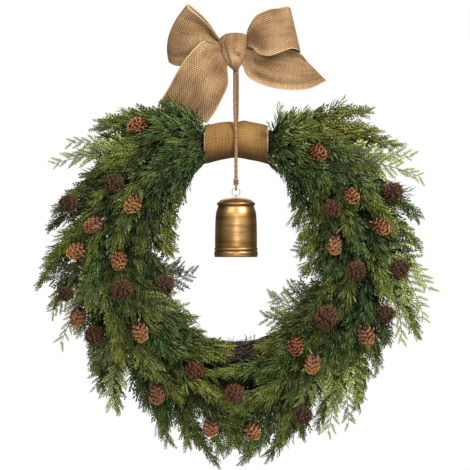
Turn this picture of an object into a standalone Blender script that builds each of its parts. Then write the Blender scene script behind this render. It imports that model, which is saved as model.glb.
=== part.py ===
"""A christmas wreath: cedar bunches, cones and sweet-gum pods on a twisted vine ring, hung by jute twine from a burlap
bow, with a brass bell swinging in its middle.

Metres, +Z up. The wreath hangs facing -Y, with +X to its right as seen from the front. The origin is the centre of the
twine's eye, where a nail in the wall holds it up, and the ring's plane is y = 0.
"""

import math

import bmesh
import bpy
from mathutils import Matrix, Vector
from mathutils.bvhtree import BVHTree

MM = 0.001
SEAT_GAP = 0.3 * MM  # between touching pieces

# Vine ring and the burlap band round its top
RING_Z = -298.5 * MM
RING_RADIUS = 163.5 * MM
VINE_RADIUS = 24 * MM
VINE_GROOVE = 5 * MM
VINE_STRANDS = 5
VINE_TURNS = 3
VINE_SEGMENTS = 36
STRAP_RADIUS = 25.2 * MM  # its inside
STRAP_THICK = 1.5 * MM
STRAP_HALF_WIDTH = 48.8 * MM
STRAP_SIDES = 16
STRAP_SEGMENTS = 40  # on the full ring, of which the strap keeps its width

# Jute twine
TWINE_RADIUS = 2 * MM
EYE_RADIUS = 5 * MM  # of the eye that the nail fills, at the twine's middle
PAIR_OFFSET = TWINE_RADIUS + 0.15 * MM
KNOT_FOOT_Z = -32 * MM  # the two strands run side by side down to here, behind the bow
WRAP_TOP_Z = RING_Z + RING_RADIUS  # of the ring's centre line, which the twine goes round
WRAP_STEPS = 9
STRAND_Y = -(STRAP_RADIUS + STRAP_THICK + TWINE_RADIUS + SEAT_GAP)
BELL_KNOT_RADIUS = 4.4 * MM
BELL_KNOT_Z = -200.5 * MM
BELL_EYE_RADIUS = 3.6 * MM  # of the eye that holds the split ring
BELL_EYE_TWINE = 1.7 * MM

# Split ring, bell, staple and clapper
SPLIT_RING_RADIUS = 6.1 * MM
SPLIT_RING_WIRE = 0.9 * MM
SPLIT_RING_Z = -213.8 * MM
STAPLE_WIRE = 0.7 * MM
STAPLE_HALF_WIDTH = 3 * MM
STAPLE_HOLE_RADIUS = STAPLE_WIRE + 0.35 * MM
STAPLE_FOOT_ARC = 2.2 * MM
STAPLE_DROP = 3.6 * MM  # of the staple's foot below the crown's inside
BELL_CROWN_Z = -221 * MM
BELL_WALL = 2.2 * MM
BELL_STEPS = 18
CLAPPER_BALL_RADIUS = 7 * MM
CLAPPER_BALL_Z = -299 * MM
CLAPPER_ROD = 1.1 * MM
CLAPPER_EYE_RADIUS = 2.4 * MM
CLAPPER_WIRE = 0.8 * MM

# Burlap ribbon of the bow
RIBBON_THICK = 1.4 * MM
LAYER_STEP = RIBBON_THICK + SEAT_GAP
LOOPS_Y = -(TWINE_RADIUS + SEAT_GAP + RIBBON_THICK / 2)  # of the loops' back layer where it is gathered
TAILS_Y = LOOPS_Y - 2 * LAYER_STEP
KNOT_BACK_Y = TAILS_Y - LAYER_STEP
KNOT_HALF_WIDTH = 22 * MM
KNOT_TOP = 26 * MM
KNOT_BOTTOM = 28 * MM
KNOT_DEPTH = 21 * MM
KNOT_FOLDS = 7

# Foliage: plume stems, and the needles that are raised from them
FORK_RADIUS = 166 * MM  # of the circle on which the bunches fork
FORK_Y = -36 * MM
STEM_BASE = 2.6 * MM
STEM_TIP = 1.0 * MM
STUB_BASE = 3.4 * MM  # of a bunch's root, at its fork
STUB_TIP = 1.3 * MM
PLUME_SEGMENTS = 6
SPRAY_SEGMENTS = 8
PLUME_BULGE = 10 * MM  # how far the middle of a plume stands forward of its two ends
BARE_SHARE = 0.14  # of a stem, from its fork
TIP_NEEDLE = 16 * MM
NEEDLE_LONG = 27 * MM
NEEDLE_SHORT = 17 * MM  # forwards and backwards, where a plume is thin
NEEDLE_OUT = 0.72
NEEDLE_ALONG = 0.86
NEEDLE_CLEARANCE = 0.5 * MM
SHORTER = (1.0, 0.78, 0.58, 0.42)  # a needle that would cross something is tried at these shares of its length

# Cones and pods
CONE_LENGTH = 33 * MM
CONE_RADIUS = 11 * MM
CONE_SIDES = 6
CONE_TURN = 2.2  # radians that the rows turn in half a cone's length
SCALE_RISE = 3.2 * MM
POD_RADIUS = 14.5 * MM
SPINE_RISE = 3.4 * MM
PICK_CLEARANCE = 3 * MM  # between a cone or pod and the stems behind it
STALK_SPREAD = math.radians(60)
STALK_SAMPLES = 4  # points tried along each segment of a stem

BRASS = (0.42, 0.26, 0.09)
SILVER = (0.62, 0.62, 0.6)
STRAW = (0.52, 0.34, 0.17)
BURLAP = (0.47, 0.31, 0.15)
VINE_BROWN = (0.035, 0.022, 0.014)
CEDAR_GREEN = (0.055, 0.12, 0.03)
FERN_GREEN = (0.28, 0.36, 0.11)
CONE_BROWN = (0.33, 0.15, 0.06)
POD_BROWN = (0.085, 0.045, 0.028)

# Dark cedar bunches: each root's clock angle on the ring, and each plume's tip as (clock angle, radius mm, y mm).
# Angles run from the top, positive to the right.
CEDAR = {
    "cedar_right_1": (21, (26, 232, -8), (39, 258, -26), (57, 300, -44), (62, 222, -62), (58, 168, -60), (50, 112, -40)),
    "cedar_right_2": (53, (75, 276, -8), (88, 274, -40), (95, 226, -62), (98, 174, -60), (84, 100, -38)),
    "cedar_right_3": (84, (97, 276, -2), (118, 296, -36), (126, 222, -62), (130, 170, -71), (112, 106, -38)),
    "cedar_right_4": (113, (132, 284, -8), (143, 306, -34), (156, 226, -60), (158, 180, -70), (141, 108, -38)),
    "cedar_right_5": (141, (158, 298, -8), (168, 302, -30), (181, 316, -16), (187, 206, -56), (168, 134, -38)),
    "cedar_left_1": (-20, (-25, 228, -32), (-36, 266, -2), (-47, 292, -30), (-60, 226, -62), (-57, 170, -60), (-55, 106, -40)),
    "cedar_left_2": (-51, (-67, 272, -8), (-82, 286, -34), (-92, 226, -62), (-96, 172, -60), (-87, 104, -38)),
    "cedar_left_3": (-80, (-98, 304, -8), (-112, 292, -34), (-122, 224, -62), (-126, 176, -60), (-114, 116, -38)),
    "cedar_left_4": (-108, (-127, 276, -8), (-138, 300, -34), (-150, 226, -60), (-152, 172, -60), (-142, 120, -38)),
    "cedar_left_5": (-136, (-148, 304, -8), (-163, 308, -30), (-174, 320, -14), (-178, 262, -44), (-168, 142, -38)),
}

# Pale flat sprays, in the same terms
FERN = {
    "fern_upper_left": (-38, (-58, 300, 2), (-66, 304, -14)),
    "fern_left": (-93, (-112, 300, 6), (-120, 300, -12)),
    "fern_lower_left": (-121, (-136, 304, 8), (-143, 306, -14)),
    "fern_inner_left": (-101, (-121, 84, -16), (-139, 118, -12)),
    "fern_upper_right": (40, (64, 302, 4), (70, 300, -16)),
    "fern_right": (70, (104, 300, 2), (111, 304, -18)),
    "fern_lower_right": (128, (149, 318, 6), (154, 310, -14)),
    "fern_inner_right": (119, (146, 88, -14), (158, 110, -10)),
}

# Cones as (x mm, z mm from the ring's centre, heading of the tip from straight down in degrees, lean to the front)
CONES = (
    (-148.5, 184, -75, 45),
    (-155, 64.5, -35, 35),
    (-214, 34, -60, 15),
    (-239, -4.5, -75, 25),
    (-174, -19, -10, 30),
    (-237.5, -104, -20, 10),
    (-142, -126, 20, 15),
    (-117.5, -219, 8, 20),
    (-37.5, -269, -5, 15),
    (25, -273, 30, 20),
    (88.5, -146, 10, 65),
    (113.5, -173, -10, 10),
    (194, -131, 25, 20),
    (147, 4.5, 10, 15),
    (217, 31.5, 45, 40),
    (123, 142, 55, 60),
    (172, 77.5, 40, 45),
)

# Pods as (x mm, z mm from the ring's centre, size)
PODS = (
    (-181.5, 97.5, 1),
    (-250.5, 67, 1),
    (-170, -61, 1),
    (-106.5, -54, 0.95),
    (-253.5, -68, 0.8),
    (-212.5, -130, 1),
    (-61.5, -181, 1),
    (-2, -216, 1),
    (100.5, -248, 1),
    (133.5, -102, 1.15),
    (223.5, -98, 1),
    (244.5, -29, 1),
    (179, -33, 1),
    (144, 59, 0.95),
    (235.5, 85, 1.05),
)

# Half of the bell's outside, from its crown to its lip, as (radius mm, mm below the crown)
BELL_PROFILE = (
    (0, 0),
    (11, 0.6),
    (19, 2.6),
    (24, 5.6),
    (26.4, 8),
    (28.4, 9.4),
    (28.2, 12),
    (27.2, 14.5),
    (29, 20),
    (30.6, 28),
    (31.2, 45),
    (31.6, 70),
    (31.6, 76),
    (32.6, 78),
    (31.8, 80.5),
    (32.9, 84),
    (32.2, 87),
    (31.8, 90.3),
)

# Its inside, from the lip to the crown
BELL_INSIDE = (
    (29.6, 90.3),
    (29.6, 60),
    (28.4, 28),
    (24.6, 14),
    (21, 6.5),
    (12, 3.2),
    (0, 2.2),
)

# Ribbon sections in mm from the eye: x and z of one edge, x and z of the other, y, and how far the middle bows out in x
BACK_LAYER = LOOPS_Y / MM
FRONT_LAYER = (LOOPS_Y - LAYER_STEP) / MM
TAIL_LAYER = TAILS_Y / MM
LOOP_SECTIONS = (
    (0, 8, 0, -7, BACK_LAYER, 0),
    (-22, 10, -22, -8, BACK_LAYER, 0),
    (-44, 42, -48, -16, 0, 0),
    (-66, 66, -76, -24, 3, -3),
    (-76, 67, -90, -23, -4, -10),
    (-77, 66, -92, -22, -14, -16),
    (-73, 67, -86, -22, -24, -10),
    (-61, 55, -70, -8, -28, -2),
    (-42, 36, -44, 8, -25, 0),
    (-22, 12, -22, 0, FRONT_LAYER, 0),
    (0, 8, 0, -7, FRONT_LAYER, 0),
    (22, 16, 22, -4, FRONT_LAYER, 0),
    (38, 56, 36, -8, -24, 0),
    (62, 64, 60, -10, -30, 0),
    (80, 63, 88, -4, -26, 3),
    (83, 60, 95, -2, -15, 5),
    (80, 62, 90, -5, -5, 3),
    (62, 62, 66, -12, 3, 0),
    (42, 56, 42, -13, 0, 0),
    (22, 18, 22, -9, BACK_LAYER, 0),
)
TAIL_SECTIONS = (
    (-116, -80, -44, -110, -12, 0),
    (-105, -60, -32, -94, -21, 0),
    (-93, -38, -22, -76, -29, 0),
    (-76, -12, -13, -58, -35, 0),
    (-60, 3, -11, -44, -33, 0),
    (-36, 2, -12, -32, -20, 0),
    (-20, -4, -9, -24, TAIL_LAYER, 0),
    (0, 6, 0, -8, TAIL_LAYER, 0),
    (20, -4, 10, -24, TAIL_LAYER, 0),
    (34, -7, 18, -40, -13, 0),
    (56, -6, 42, -53, -16, 0),
    (82, -8, 76, -60, -19, 0),
    (99, -11, 110, -58, -18, 0),
    (104, -14, 136, -46, -16, 0),
)


def clear_scene():
    for thing in list(bpy.data.objects):
        bpy.data.objects.remove(thing)


def new_collection(name, render=True):
    made = bpy.data.collections.new(name)
    bpy.context.scene.collection.children.link(made)
    made.hide_render = not render
    return made


def principled(name, colour, roughness, metallic=0.0):
    made = bpy.data.materials.new(name)
    made.use_nodes = True
    shader = made.node_tree.nodes["Principled BSDF"]
    shader.inputs["Base Color"].default_value = (*colour, 1)
    shader.inputs["Roughness"].default_value = roughness
    shader.inputs["Metallic"].default_value = metallic
    return made


def mesh_object(name, bm, material, collection, smooth_angle=None, turn_out=True):
    """One object that holds the bmesh, which is freed. Its faces are turned outwards unless they are so by make."""
    bm.normal_update()
    if turn_out:
        bmesh.ops.recalc_face_normals(bm, faces=bm.faces)
    mesh = bpy.data.meshes.new(name)
    bm.to_mesh(mesh)
    bm.free()
    mesh.materials.append(material)
    if smooth_angle is not None:
        mesh.shade_smooth()
        mesh.set_sharp_from_angle(angle=math.radians(smooth_angle))
    made = bpy.data.objects.new(name, mesh)
    collection.objects.link(made)
    return made


def tube(points, radius, collection, material, name, closed=False, resolution=2, ends=None):
    """A mesh tube along points. With ends, the radius runs from the first of them to the second."""
    curve = bpy.data.curves.new(name, "CURVE")
    curve.dimensions = "3D"
    curve.bevel_depth = 1
    curve.bevel_resolution = resolution
    curve.use_fill_caps = True
    spline = curve.splines.new("POLY")
    spline.points.add(len(points) - 1)
    spline.use_cyclic_u = closed
    for i, point in enumerate(points):
        share = i / (len(points) - 1)
        spline.points[i].co = (*point, 1)
        spline.points[i].radius = radius if ends is None else ends[0] + (ends[1] - ends[0]) * share
    guide = bpy.data.objects.new(name, curve)
    collection.objects.link(guide)
    bpy.context.view_layer.update()
    mesh = bpy.data.meshes.new_from_object(guide.evaluated_get(bpy.context.evaluated_depsgraph_get()))
    bpy.data.objects.remove(guide)
    bpy.data.curves.remove(curve)
    bm = bmesh.new()
    bm.from_mesh(mesh)
    bpy.data.meshes.remove(mesh)
    bmesh.ops.remove_doubles(bm, verts=bm.verts, dist=1e-6)
    return mesh_object(name, bm, material, collection)


def join_union(whole, others, collection):
    """Joins the other objects to the first by one Boolean union, and removes them."""
    group = bpy.data.collections.new(whole.name + "_union")
    collection.children.link(group)
    for other in others:
        for home in list(other.users_collection):
            home.objects.unlink(other)
        group.objects.link(other)
    union = whole.modifiers.new("Union", "BOOLEAN")
    union.operation = "UNION"
    union.operand_type = "COLLECTION"
    union.collection = group
    union.solver = "MANIFOLD"
    bake(whole)
    for other in others:
        bpy.data.objects.remove(other)
    bpy.data.collections.remove(group)


def bake(thing):
    """Applies the object's modifiers."""
    bpy.context.view_layer.update()
    mesh = bpy.data.meshes.new_from_object(thing.evaluated_get(bpy.context.evaluated_depsgraph_get()))
    thing.modifiers.clear()
    thing.data = mesh


def tree_of(thing):
    """The object's faces with its modifiers, as a tree in world coordinates."""
    bpy.context.view_layer.update()
    shape = thing.evaluated_get(bpy.context.evaluated_depsgraph_get())
    bm = bmesh.new()
    bm.from_mesh(shape.to_mesh())
    bm.transform(thing.matrix_world)
    made = BVHTree.FromBMesh(bm)
    bm.free()
    shape.to_mesh_clear()
    return made


def put_origin(thing, point):
    """Moves the object's origin, and not its mesh, to a point in the world."""
    thing.data.transform(Matrix.Translation(-point))
    thing.location = point


def hang(child, parent):
    """Parents the child and leaves it where it is."""
    bpy.context.view_layer.update()
    child.parent = parent
    child.matrix_parent_inverse = parent.matrix_world.inverted()


def clock(angle, radius, y):
    """A point by its angle from the ring's top, positive to the right, its distance from the ring's centre and y."""
    a = math.radians(angle)
    return Vector((radius * math.sin(a), y, RING_Z + radius * math.cos(a)))


# Vine ring and strap


def ring_torus(radius, around, sides):
    """A torus about the ring's centre line, lying in the plane z = 0, as a bmesh."""
    bpy.ops.mesh.primitive_torus_add(
        location=(0, 0, 0),
        rotation=(0, 0, 0),
        major_segments=around,
        minor_segments=sides,
        major_radius=RING_RADIUS,
        minor_radius=radius,
    )
    torus = bpy.context.object
    mesh = torus.data
    bm = bmesh.new()
    bm.from_mesh(mesh)
    bpy.data.objects.remove(torus)
    bpy.data.meshes.remove(mesh)
    return bm


def hung_ring(name, bm, material, parts):
    """The object for a torus bmesh, stood up in the wreath's plane at the ring's centre."""
    made = mesh_object(name, bm, material, parts, 40)
    made.location = (0, 0, RING_Z)
    made.rotation_euler = (math.radians(90), 0, 0)
    return made


def vine_ring(parts, material):
    """A torus whose section is a star of strands that turns on its way round."""
    sides = 2 * VINE_STRANDS
    bm = ring_torus(VINE_RADIUS, VINE_SEGMENTS, sides)
    for v in bm.verts:
        station, side = divmod(v.index, sides)
        around = 2 * math.pi * station / VINE_SEGMENTS
        turn = 2 * math.pi * (side / sides + VINE_TURNS * station / VINE_SEGMENTS)
        out = VINE_RADIUS - (VINE_GROOVE if side % 2 else 0)
        reach = RING_RADIUS + out * math.cos(turn)
        v.co = (reach * math.cos(around), reach * math.sin(around), out * math.sin(turn))
    return hung_ring("vine_ring", bm, material, parts)


def strap(parts, material):
    """A sleeve of burlap round the top of the ring, cut straight at both sides."""
    bm = ring_torus(STRAP_RADIUS, STRAP_SEGMENTS, STRAP_SIDES)
    for plane_co, plane_no in (
        ((STRAP_HALF_WIDTH, 0, 0), (1, 0, 0)),
        ((-STRAP_HALF_WIDTH, 0, 0), (-1, 0, 0)),
        ((0, 0, 0), (0, -1, 0)),
    ):
        bmesh.ops.bisect_plane(
            bm,
            geom=bm.verts[:] + bm.edges[:] + bm.faces[:],
            plane_co=plane_co,
            plane_no=plane_no,
            clear_outer=True,
        )
    made = hung_ring("strap", bm, material, parts)
    thicken(made, STRAP_THICK, 1)
    return made


def thicken(thing, thickness, offset):
    solidify = thing.modifiers.new("Solidify", "SOLIDIFY")
    solidify.thickness = thickness
    solidify.offset = offset


# Bow


def ribbon(name, sections, across, closed, parts, material):
    """A grid bent through the ribbon's sections, smooth as seen from the front, and made as thick as the burlap."""
    rows = len(sections) if closed else len(sections) - 1
    bm = bmesh.new()
    bmesh.ops.create_grid(bm, x_segments=across, y_segments=rows, size=0.5)
    for v in bm.verts:
        share = v.co.x + 0.5
        station = round((v.co.y + 0.5) * rows) % len(sections)
        left_x, left_z, right_x, right_z, y, bow = sections[station]
        middle = bow * 4 * share * (1 - share)
        v.co = Vector((left_x, y, left_z)).lerp(Vector((right_x, y, right_z)), share) + Vector((middle, 0, 0))
        v.co *= MM
    bmesh.ops.remove_doubles(bm, verts=bm.verts, dist=1e-6)
    made = mesh_object(name, bm, material, parts, 60)
    thicken(made, RIBBON_THICK, 0)
    return made


def bow_knot(parts, material):
    """A gathered lump that is flat behind and comes to a point below."""
    bm = bmesh.new()
    bmesh.ops.create_uvsphere(bm, u_segments=14, v_segments=8, radius=1)
    for v in bm.verts:
        x, y, z = v.co
        height = z * (KNOT_TOP if z > 0 else KNOT_BOTTOM)
        narrow = 1 - 0.55 * max(0.0, -z) ** 1.3
        fold = 1 + 0.06 * math.cos(KNOT_FOLDS * math.pi * x) * (1 - abs(z))
        v.co = (x * KNOT_HALF_WIDTH * narrow, KNOT_BACK_Y - max(0.0, -y) * KNOT_DEPTH * fold, height)
    bmesh.ops.dissolve_limit(bm, angle_limit=math.radians(0.5), verts=bm.verts, edges=bm.edges)
    return mesh_object("bow_knot", bm, material, parts, 50)


# Twine, ring and bell


def twine_points():
    """The closed hanging loop, from the eye's top, down the front strand, round ring and strap, and up the back."""
    right = []
    for step in range(6):
        a = math.radians(90 - 30 * step)
        right.append((EYE_RADIUS * math.cos(a), 0, EYE_RADIUS * math.sin(a)))
    right.append((PAIR_OFFSET, 0, -12 * MM))
    right.append((PAIR_OFFSET, 0, KNOT_FOOT_Z))
    left = [(-x, y, z) for x, y, z in reversed(right[1:])]
    front = []
    steps = 5
    for step in range(1, steps):
        share = step / steps
        z = KNOT_FOOT_Z + (WRAP_TOP_Z + 14 * MM - KNOT_FOOT_Z) * share
        front.append((-PAIR_OFFSET * (1 - share), STRAND_Y * share, z))
    back = [(-x, -y, z) for x, y, z in reversed(front)]
    around = []
    step_angle = math.radians(220) / WRAP_STEPS
    reach = -STRAND_Y / math.cos(step_angle / 2)
    for step in range(WRAP_STEPS + 1):
        a = math.radians(20) - step_angle * step
        around.append((0, -reach * math.cos(a), WRAP_TOP_Z + reach * math.sin(a)))
    return [*reversed(left), *front, *around, *back, *reversed(right[1:])]


def jute_twine(parts, material):
    """The hanging loop, and the strand that leaves its front for the bell, with a knot and an eye at its end."""
    loop = tube(twine_points(), TWINE_RADIUS, parts, material, "jute_twine", closed=True)
    strand_top = WRAP_TOP_Z + 6 * MM
    count = 5
    strand = [(0, STRAND_Y, strand_top + (BELL_KNOT_Z - strand_top) * k / (count - 1)) for k in range(count)]
    hanger = tube(strand, TWINE_RADIUS, parts, material, "bell_strand")
    eye_foot = SPLIT_RING_Z + SPLIT_RING_RADIUS - SPLIT_RING_WIRE - SEAT_GAP - BELL_EYE_TWINE
    eye = []
    eye_points = 8
    for step in range(eye_points):
        a = 2 * math.pi * step / eye_points
        y = STRAND_Y + BELL_EYE_RADIUS * math.sin(a)
        eye.append((0, y, eye_foot + BELL_EYE_RADIUS * (1 - math.cos(a))))
    bell_eye = tube(eye, BELL_EYE_TWINE, parts, material, "bell_eye", closed=True, resolution=1)
    bm = bmesh.new()
    bmesh.ops.create_uvsphere(bm, u_segments=10, v_segments=6, radius=BELL_KNOT_RADIUS)
    knot = mesh_object("bell_knot", bm, material, parts)
    knot.location = (0, STRAND_Y, BELL_KNOT_Z)
    join_union(loop, [hanger, bell_eye, knot], parts)
    return loop


def circle(centre, radius, count):
    """Points on a circle that is seen round from the front."""
    points = []
    for step in range(count):
        a = 2 * math.pi * step / count
        points.append(centre + Vector((radius * math.sin(a), 0, radius * math.cos(a))))
    return points


def split_ring(parts, material):
    points = circle(Vector((0, STRAND_Y, SPLIT_RING_Z)), SPLIT_RING_RADIUS, 18)
    made = tube(points, SPLIT_RING_WIRE, parts, material, "split_ring", closed=True, resolution=1)
    put_origin(made, ring_pivot())
    return made


def ring_pivot():
    """Where the split ring hangs in the twine's eye: the middle of its top wire."""
    return Vector((0, STRAND_Y, SPLIT_RING_Z + SPLIT_RING_RADIUS))


def bell_pivot():
    """Where the bell hangs on the split ring: the middle of the staple's top wire."""
    return Vector((0, STRAND_Y, SPLIT_RING_Z - SPLIT_RING_RADIUS + SPLIT_RING_WIRE + SEAT_GAP + STAPLE_WIRE))


def clapper_pivot():
    """Where the clapper hangs: the middle of the staple's foot, under the crown."""
    return Vector((0, STRAND_Y, BELL_CROWN_Z - BELL_WALL - STAPLE_DROP))


def bell(parts, cutters, material):
    """A turned shell, open below, with two holes in its crown for the staple's legs."""
    crown = BELL_CROWN_Z - bell_pivot().z
    bm = bmesh.new()
    verts = [bm.verts.new((r * MM, 0, crown - down * MM)) for r, down in BELL_PROFILE + BELL_INSIDE]
    for a, b in zip(verts, verts[1:]):
        bm.edges.new((a, b))
    made = mesh_object("bell", bm, material, parts)
    made.location = bell_pivot()
    turned = made.modifiers.new("Screw", "SCREW")
    turned.steps = BELL_STEPS
    turned.render_steps = BELL_STEPS
    turned.use_merge_vertices = True
    turned.merge_threshold = 1e-5
    for side in (-1, 1):
        cut = bmesh.new()
        bmesh.ops.create_cone(
            cut,
            cap_ends=True,
            segments=10,
            radius1=STAPLE_HOLE_RADIUS,
            radius2=STAPLE_HOLE_RADIUS,
            depth=12 * MM,
        )
        hole = mesh_object(f"staple_hole_{side}", cut, material, cutters)
        hole.location = (0, STRAND_Y + side * STAPLE_HALF_WIDTH, BELL_CROWN_Z)
        hole.hide_render = True
        hole.display_type = "WIRE"
        difference = made.modifiers.new("Hole", "BOOLEAN")
        difference.operation = "DIFFERENCE"
        difference.object = hole
    return made


def bell_staple(parts, material):
    """A closed wire loop through the crown: the ring bears on its top, the clapper hangs on its foot."""
    top, foot = bell_pivot().z, clapper_pivot().z
    steps = 5
    points = []
    for step in range(steps + 1):
        a = math.pi * step / steps
        y = STRAND_Y + STAPLE_HALF_WIDTH * math.cos(a)
        points.append((0, y, top - STAPLE_HALF_WIDTH * (1 - math.sin(a))))
    for step in range(steps + 1):
        a = math.pi * (1 + step / steps)
        y = STRAND_Y + STAPLE_HALF_WIDTH * math.cos(a)
        points.append((0, y, foot + STAPLE_FOOT_ARC * (1 + math.sin(a))))
    made = tube(points, STAPLE_WIRE, parts, material, "bell_staple", closed=True, resolution=1)
    put_origin(made, bell_pivot())
    return made


def clapper(parts, material):
    """A ball on a rod, hung by an eye on the staple's foot."""
    eye_top = clapper_pivot() + Vector((0, 0, STAPLE_WIRE + SEAT_GAP + CLAPPER_WIRE))
    eye_centre = eye_top - Vector((0, 0, CLAPPER_EYE_RADIUS))
    points = circle(eye_centre, CLAPPER_EYE_RADIUS, 8)
    made = tube(points, CLAPPER_WIRE, parts, material, "clapper", closed=True, resolution=1)
    rod_top = eye_centre - Vector((0, 0, CLAPPER_EYE_RADIUS))
    ball_centre = Vector((0, STRAND_Y, CLAPPER_BALL_Z))
    rod = tube([rod_top, ball_centre], CLAPPER_ROD, parts, material, "clapper_rod")
    bm = bmesh.new()
    bmesh.ops.create_uvsphere(bm, u_segments=10, v_segments=6, radius=CLAPPER_BALL_RADIUS)
    ball = mesh_object("clapper_ball", bm, material, parts)
    ball.location = ball_centre
    join_union(made, [rod, ball], parts)
    put_origin(made, clapper_pivot())
    return made


# Foliage


def plume_axis(root_angle, tip, segments):
    """Points from a bunch's fork to a plume's tip: along the ring first, then out or in, and forwards."""
    tip_angle, tip_radius, tip_y = tip
    tip_radius, tip_y = tip_radius * MM, tip_y * MM
    points = []
    for k in range(segments + 1):
        t = k / segments
        angle = root_angle + (tip_angle - root_angle) * t
        radius = FORK_RADIUS + (tip_radius - FORK_RADIUS) * t**1.15
        y = FORK_Y + (tip_y - FORK_Y) * t - PLUME_BULGE * math.sin(math.pi * t)
        points.append(clock(angle, radius, y))
    return points


def stub(name, fork, ring_tree, parts, material):
    """The bunch's root, from its fork straight towards the ring until its foot is a gap off the vine."""
    way = (ring_tree.find_nearest(fork)[0] - fork).normalized()
    sideways = way.orthogonal().normalized() * STUB_TIP
    starts = [fork]
    for share in (0.4, 0.7, 1):
        starts += [fork + Matrix.Rotation(math.radians(45 * k), 3, way) @ sideways * share for k in range(8)]
    reach = min(ring_tree.ray_cast(start, way)[3] for start in starts)
    points = [fork - way * STEM_BASE, fork + way * (reach - SEAT_GAP)]
    return tube(points, 0, parts, material, name, resolution=0, ends=(STUB_BASE, STUB_TIP))


class Plume:
    """One stem, with the needles that its faces are poked out into."""

    def __init__(self, bunch, points, flat, parts, material):
        self.bunch = bunch
        self.points = points
        self.flat = flat
        self.needles = []
        self.stem = tube(points, 0, parts, material, bunch + "_stem", resolution=0, ends=(STEM_BASE, STEM_TIP))
        self.tree = tree_of(self.stem)

    def lie(self, centre):
        """Where along the stem a point is, from 0 to 1, and the stem's direction there."""
        count = len(self.points) - 1
        best = min(range(count), key=lambda i: (self.points[i].lerp(self.points[i + 1], 0.5) - centre).length)
        return (best + 0.5) / count, (self.points[best + 1] - self.points[best]).normalized()

    def grow(self, blocked):
        """Pokes each side face out to a needle, as long as it can be without crossing anything in blocked."""
        bm = bmesh.new()
        bm.from_mesh(self.stem.data)
        bm.normal_update()
        faces = list(bm.faces)
        for face in faces:
            centre = face.calc_center_median()
            share, along = self.lie(centre)
            out = (face.normal - along * face.normal.dot(along)).normalized()
            is_cap = abs(face.normal.dot(along)) > 0.8
            if is_cap and (centre - self.points[-1]).length > 2 * STEM_BASE:
                continue
            across = along.cross(Vector((0, 1, 0))).normalized()
            sideways = abs(out.dot(across))
            if share < BARE_SHARE or (self.flat and sideways < 0.5 and not is_cap):
                continue
            if is_cap:
                reach = along * TIP_NEEDLE
            else:
                long = NEEDLE_LONG * (1.08 - 0.5 * share) * (0.7 + 0.3 * min(1, share / 0.35))
                short = NEEDLE_SHORT * (1.05 - 0.4 * share)
                length = short + (long - short) * sideways
                reach = (out * NEEDLE_OUT + along * NEEDLE_ALONG).normalized() * length
            for fraction in SHORTER:
                if is_clear(face, centre, reach * fraction, blocked):
                    made = bmesh.ops.poke(bm, faces=[face])
                    made["verts"][0].co = centre + reach * fraction
                    break
        bm.to_mesh(self.stem.data)
        bm.free()
        self.tree = tree_of(self.stem)


def is_clear(face, centre, reach, blocked):
    """Whether a needle on this face, a little fatter and longer than it will be, crosses nothing."""
    corners = [v.co + (v.co - centre).normalized() * NEEDLE_CLEARANCE for v in face.verts]
    lifted = [c + reach * 0.06 for c in corners]
    tip = centre + reach + reach.normalized() * NEEDLE_CLEARANCE
    ends = [tip + (c - centre).normalized() * NEEDLE_CLEARANCE for c in corners]
    count = len(corners)
    points = lifted + ends
    quads = [(i, (i + 1) % count, count + (i + 1) % count, count + i) for i in range(count)]
    quads.append(tuple(range(count, 2 * count)))
    needle = BVHTree.FromPolygons(points, quads)
    return not any(needle.overlap(tree) for tree in blocked)


def grow_bunches(table, flat, segments, ring_tree, parts, material):
    """Each bunch's plumes as bare stems, and its stub."""
    bunches = {}
    for name, (root_angle, *tips) in table.items():
        fork = clock(root_angle, FORK_RADIUS, FORK_Y)
        root = stub(name, fork, ring_tree, parts, material)
        plumes = [Plume(name, plume_axis(root_angle, tip, segments), flat, parts, material) for tip in tips]
        bunches[name] = (root, plumes)
    return bunches


# Cones and pods


def heading(degrees, lean):
    """A direction from straight down, turned to the right by degrees and leant to the front."""
    a, b = math.radians(degrees), math.radians(lean)
    return Vector((math.sin(a) * math.cos(b), -math.sin(b), -math.cos(a) * math.cos(b)))


def seat_pick(centre, radius, plumes):
    """The centre moved to the front until it clears every stem."""
    centre = centre.copy()
    for _ in range(40):
        if min(plume.tree.find_nearest(centre)[3] for plume in plumes) > radius + PICK_CLEARANCE:
            break
        centre.y -= 2 * MM
    return centre


def stalk_end(start, way, plumes):
    """Where a stalk from start, turned from way by the spread at most, comes a seat's gap off the nearest stem."""
    reaches = []
    for plume in plumes:
        for a, b in zip(plume.points, plume.points[1:]):
            for step in range(STALK_SAMPLES):
                reach = a.lerp(b, (step + 0.5) / STALK_SAMPLES) - start
                if reach.angle(way) < STALK_SPREAD:
                    reaches.append(reach)
    ray = min(reaches, key=lambda reach: reach.length).normalized()
    hits = [(plume.tree.ray_cast(start, ray), plume.tree) for plume in plumes]
    hit, tree = min((found for found in hits if found[0][0]), key=lambda found: found[0][3])
    point = hit[0]
    while tree.find_nearest(point)[3] < SEAT_GAP:
        point = point - ray * 0.05 * MM
    return point


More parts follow.
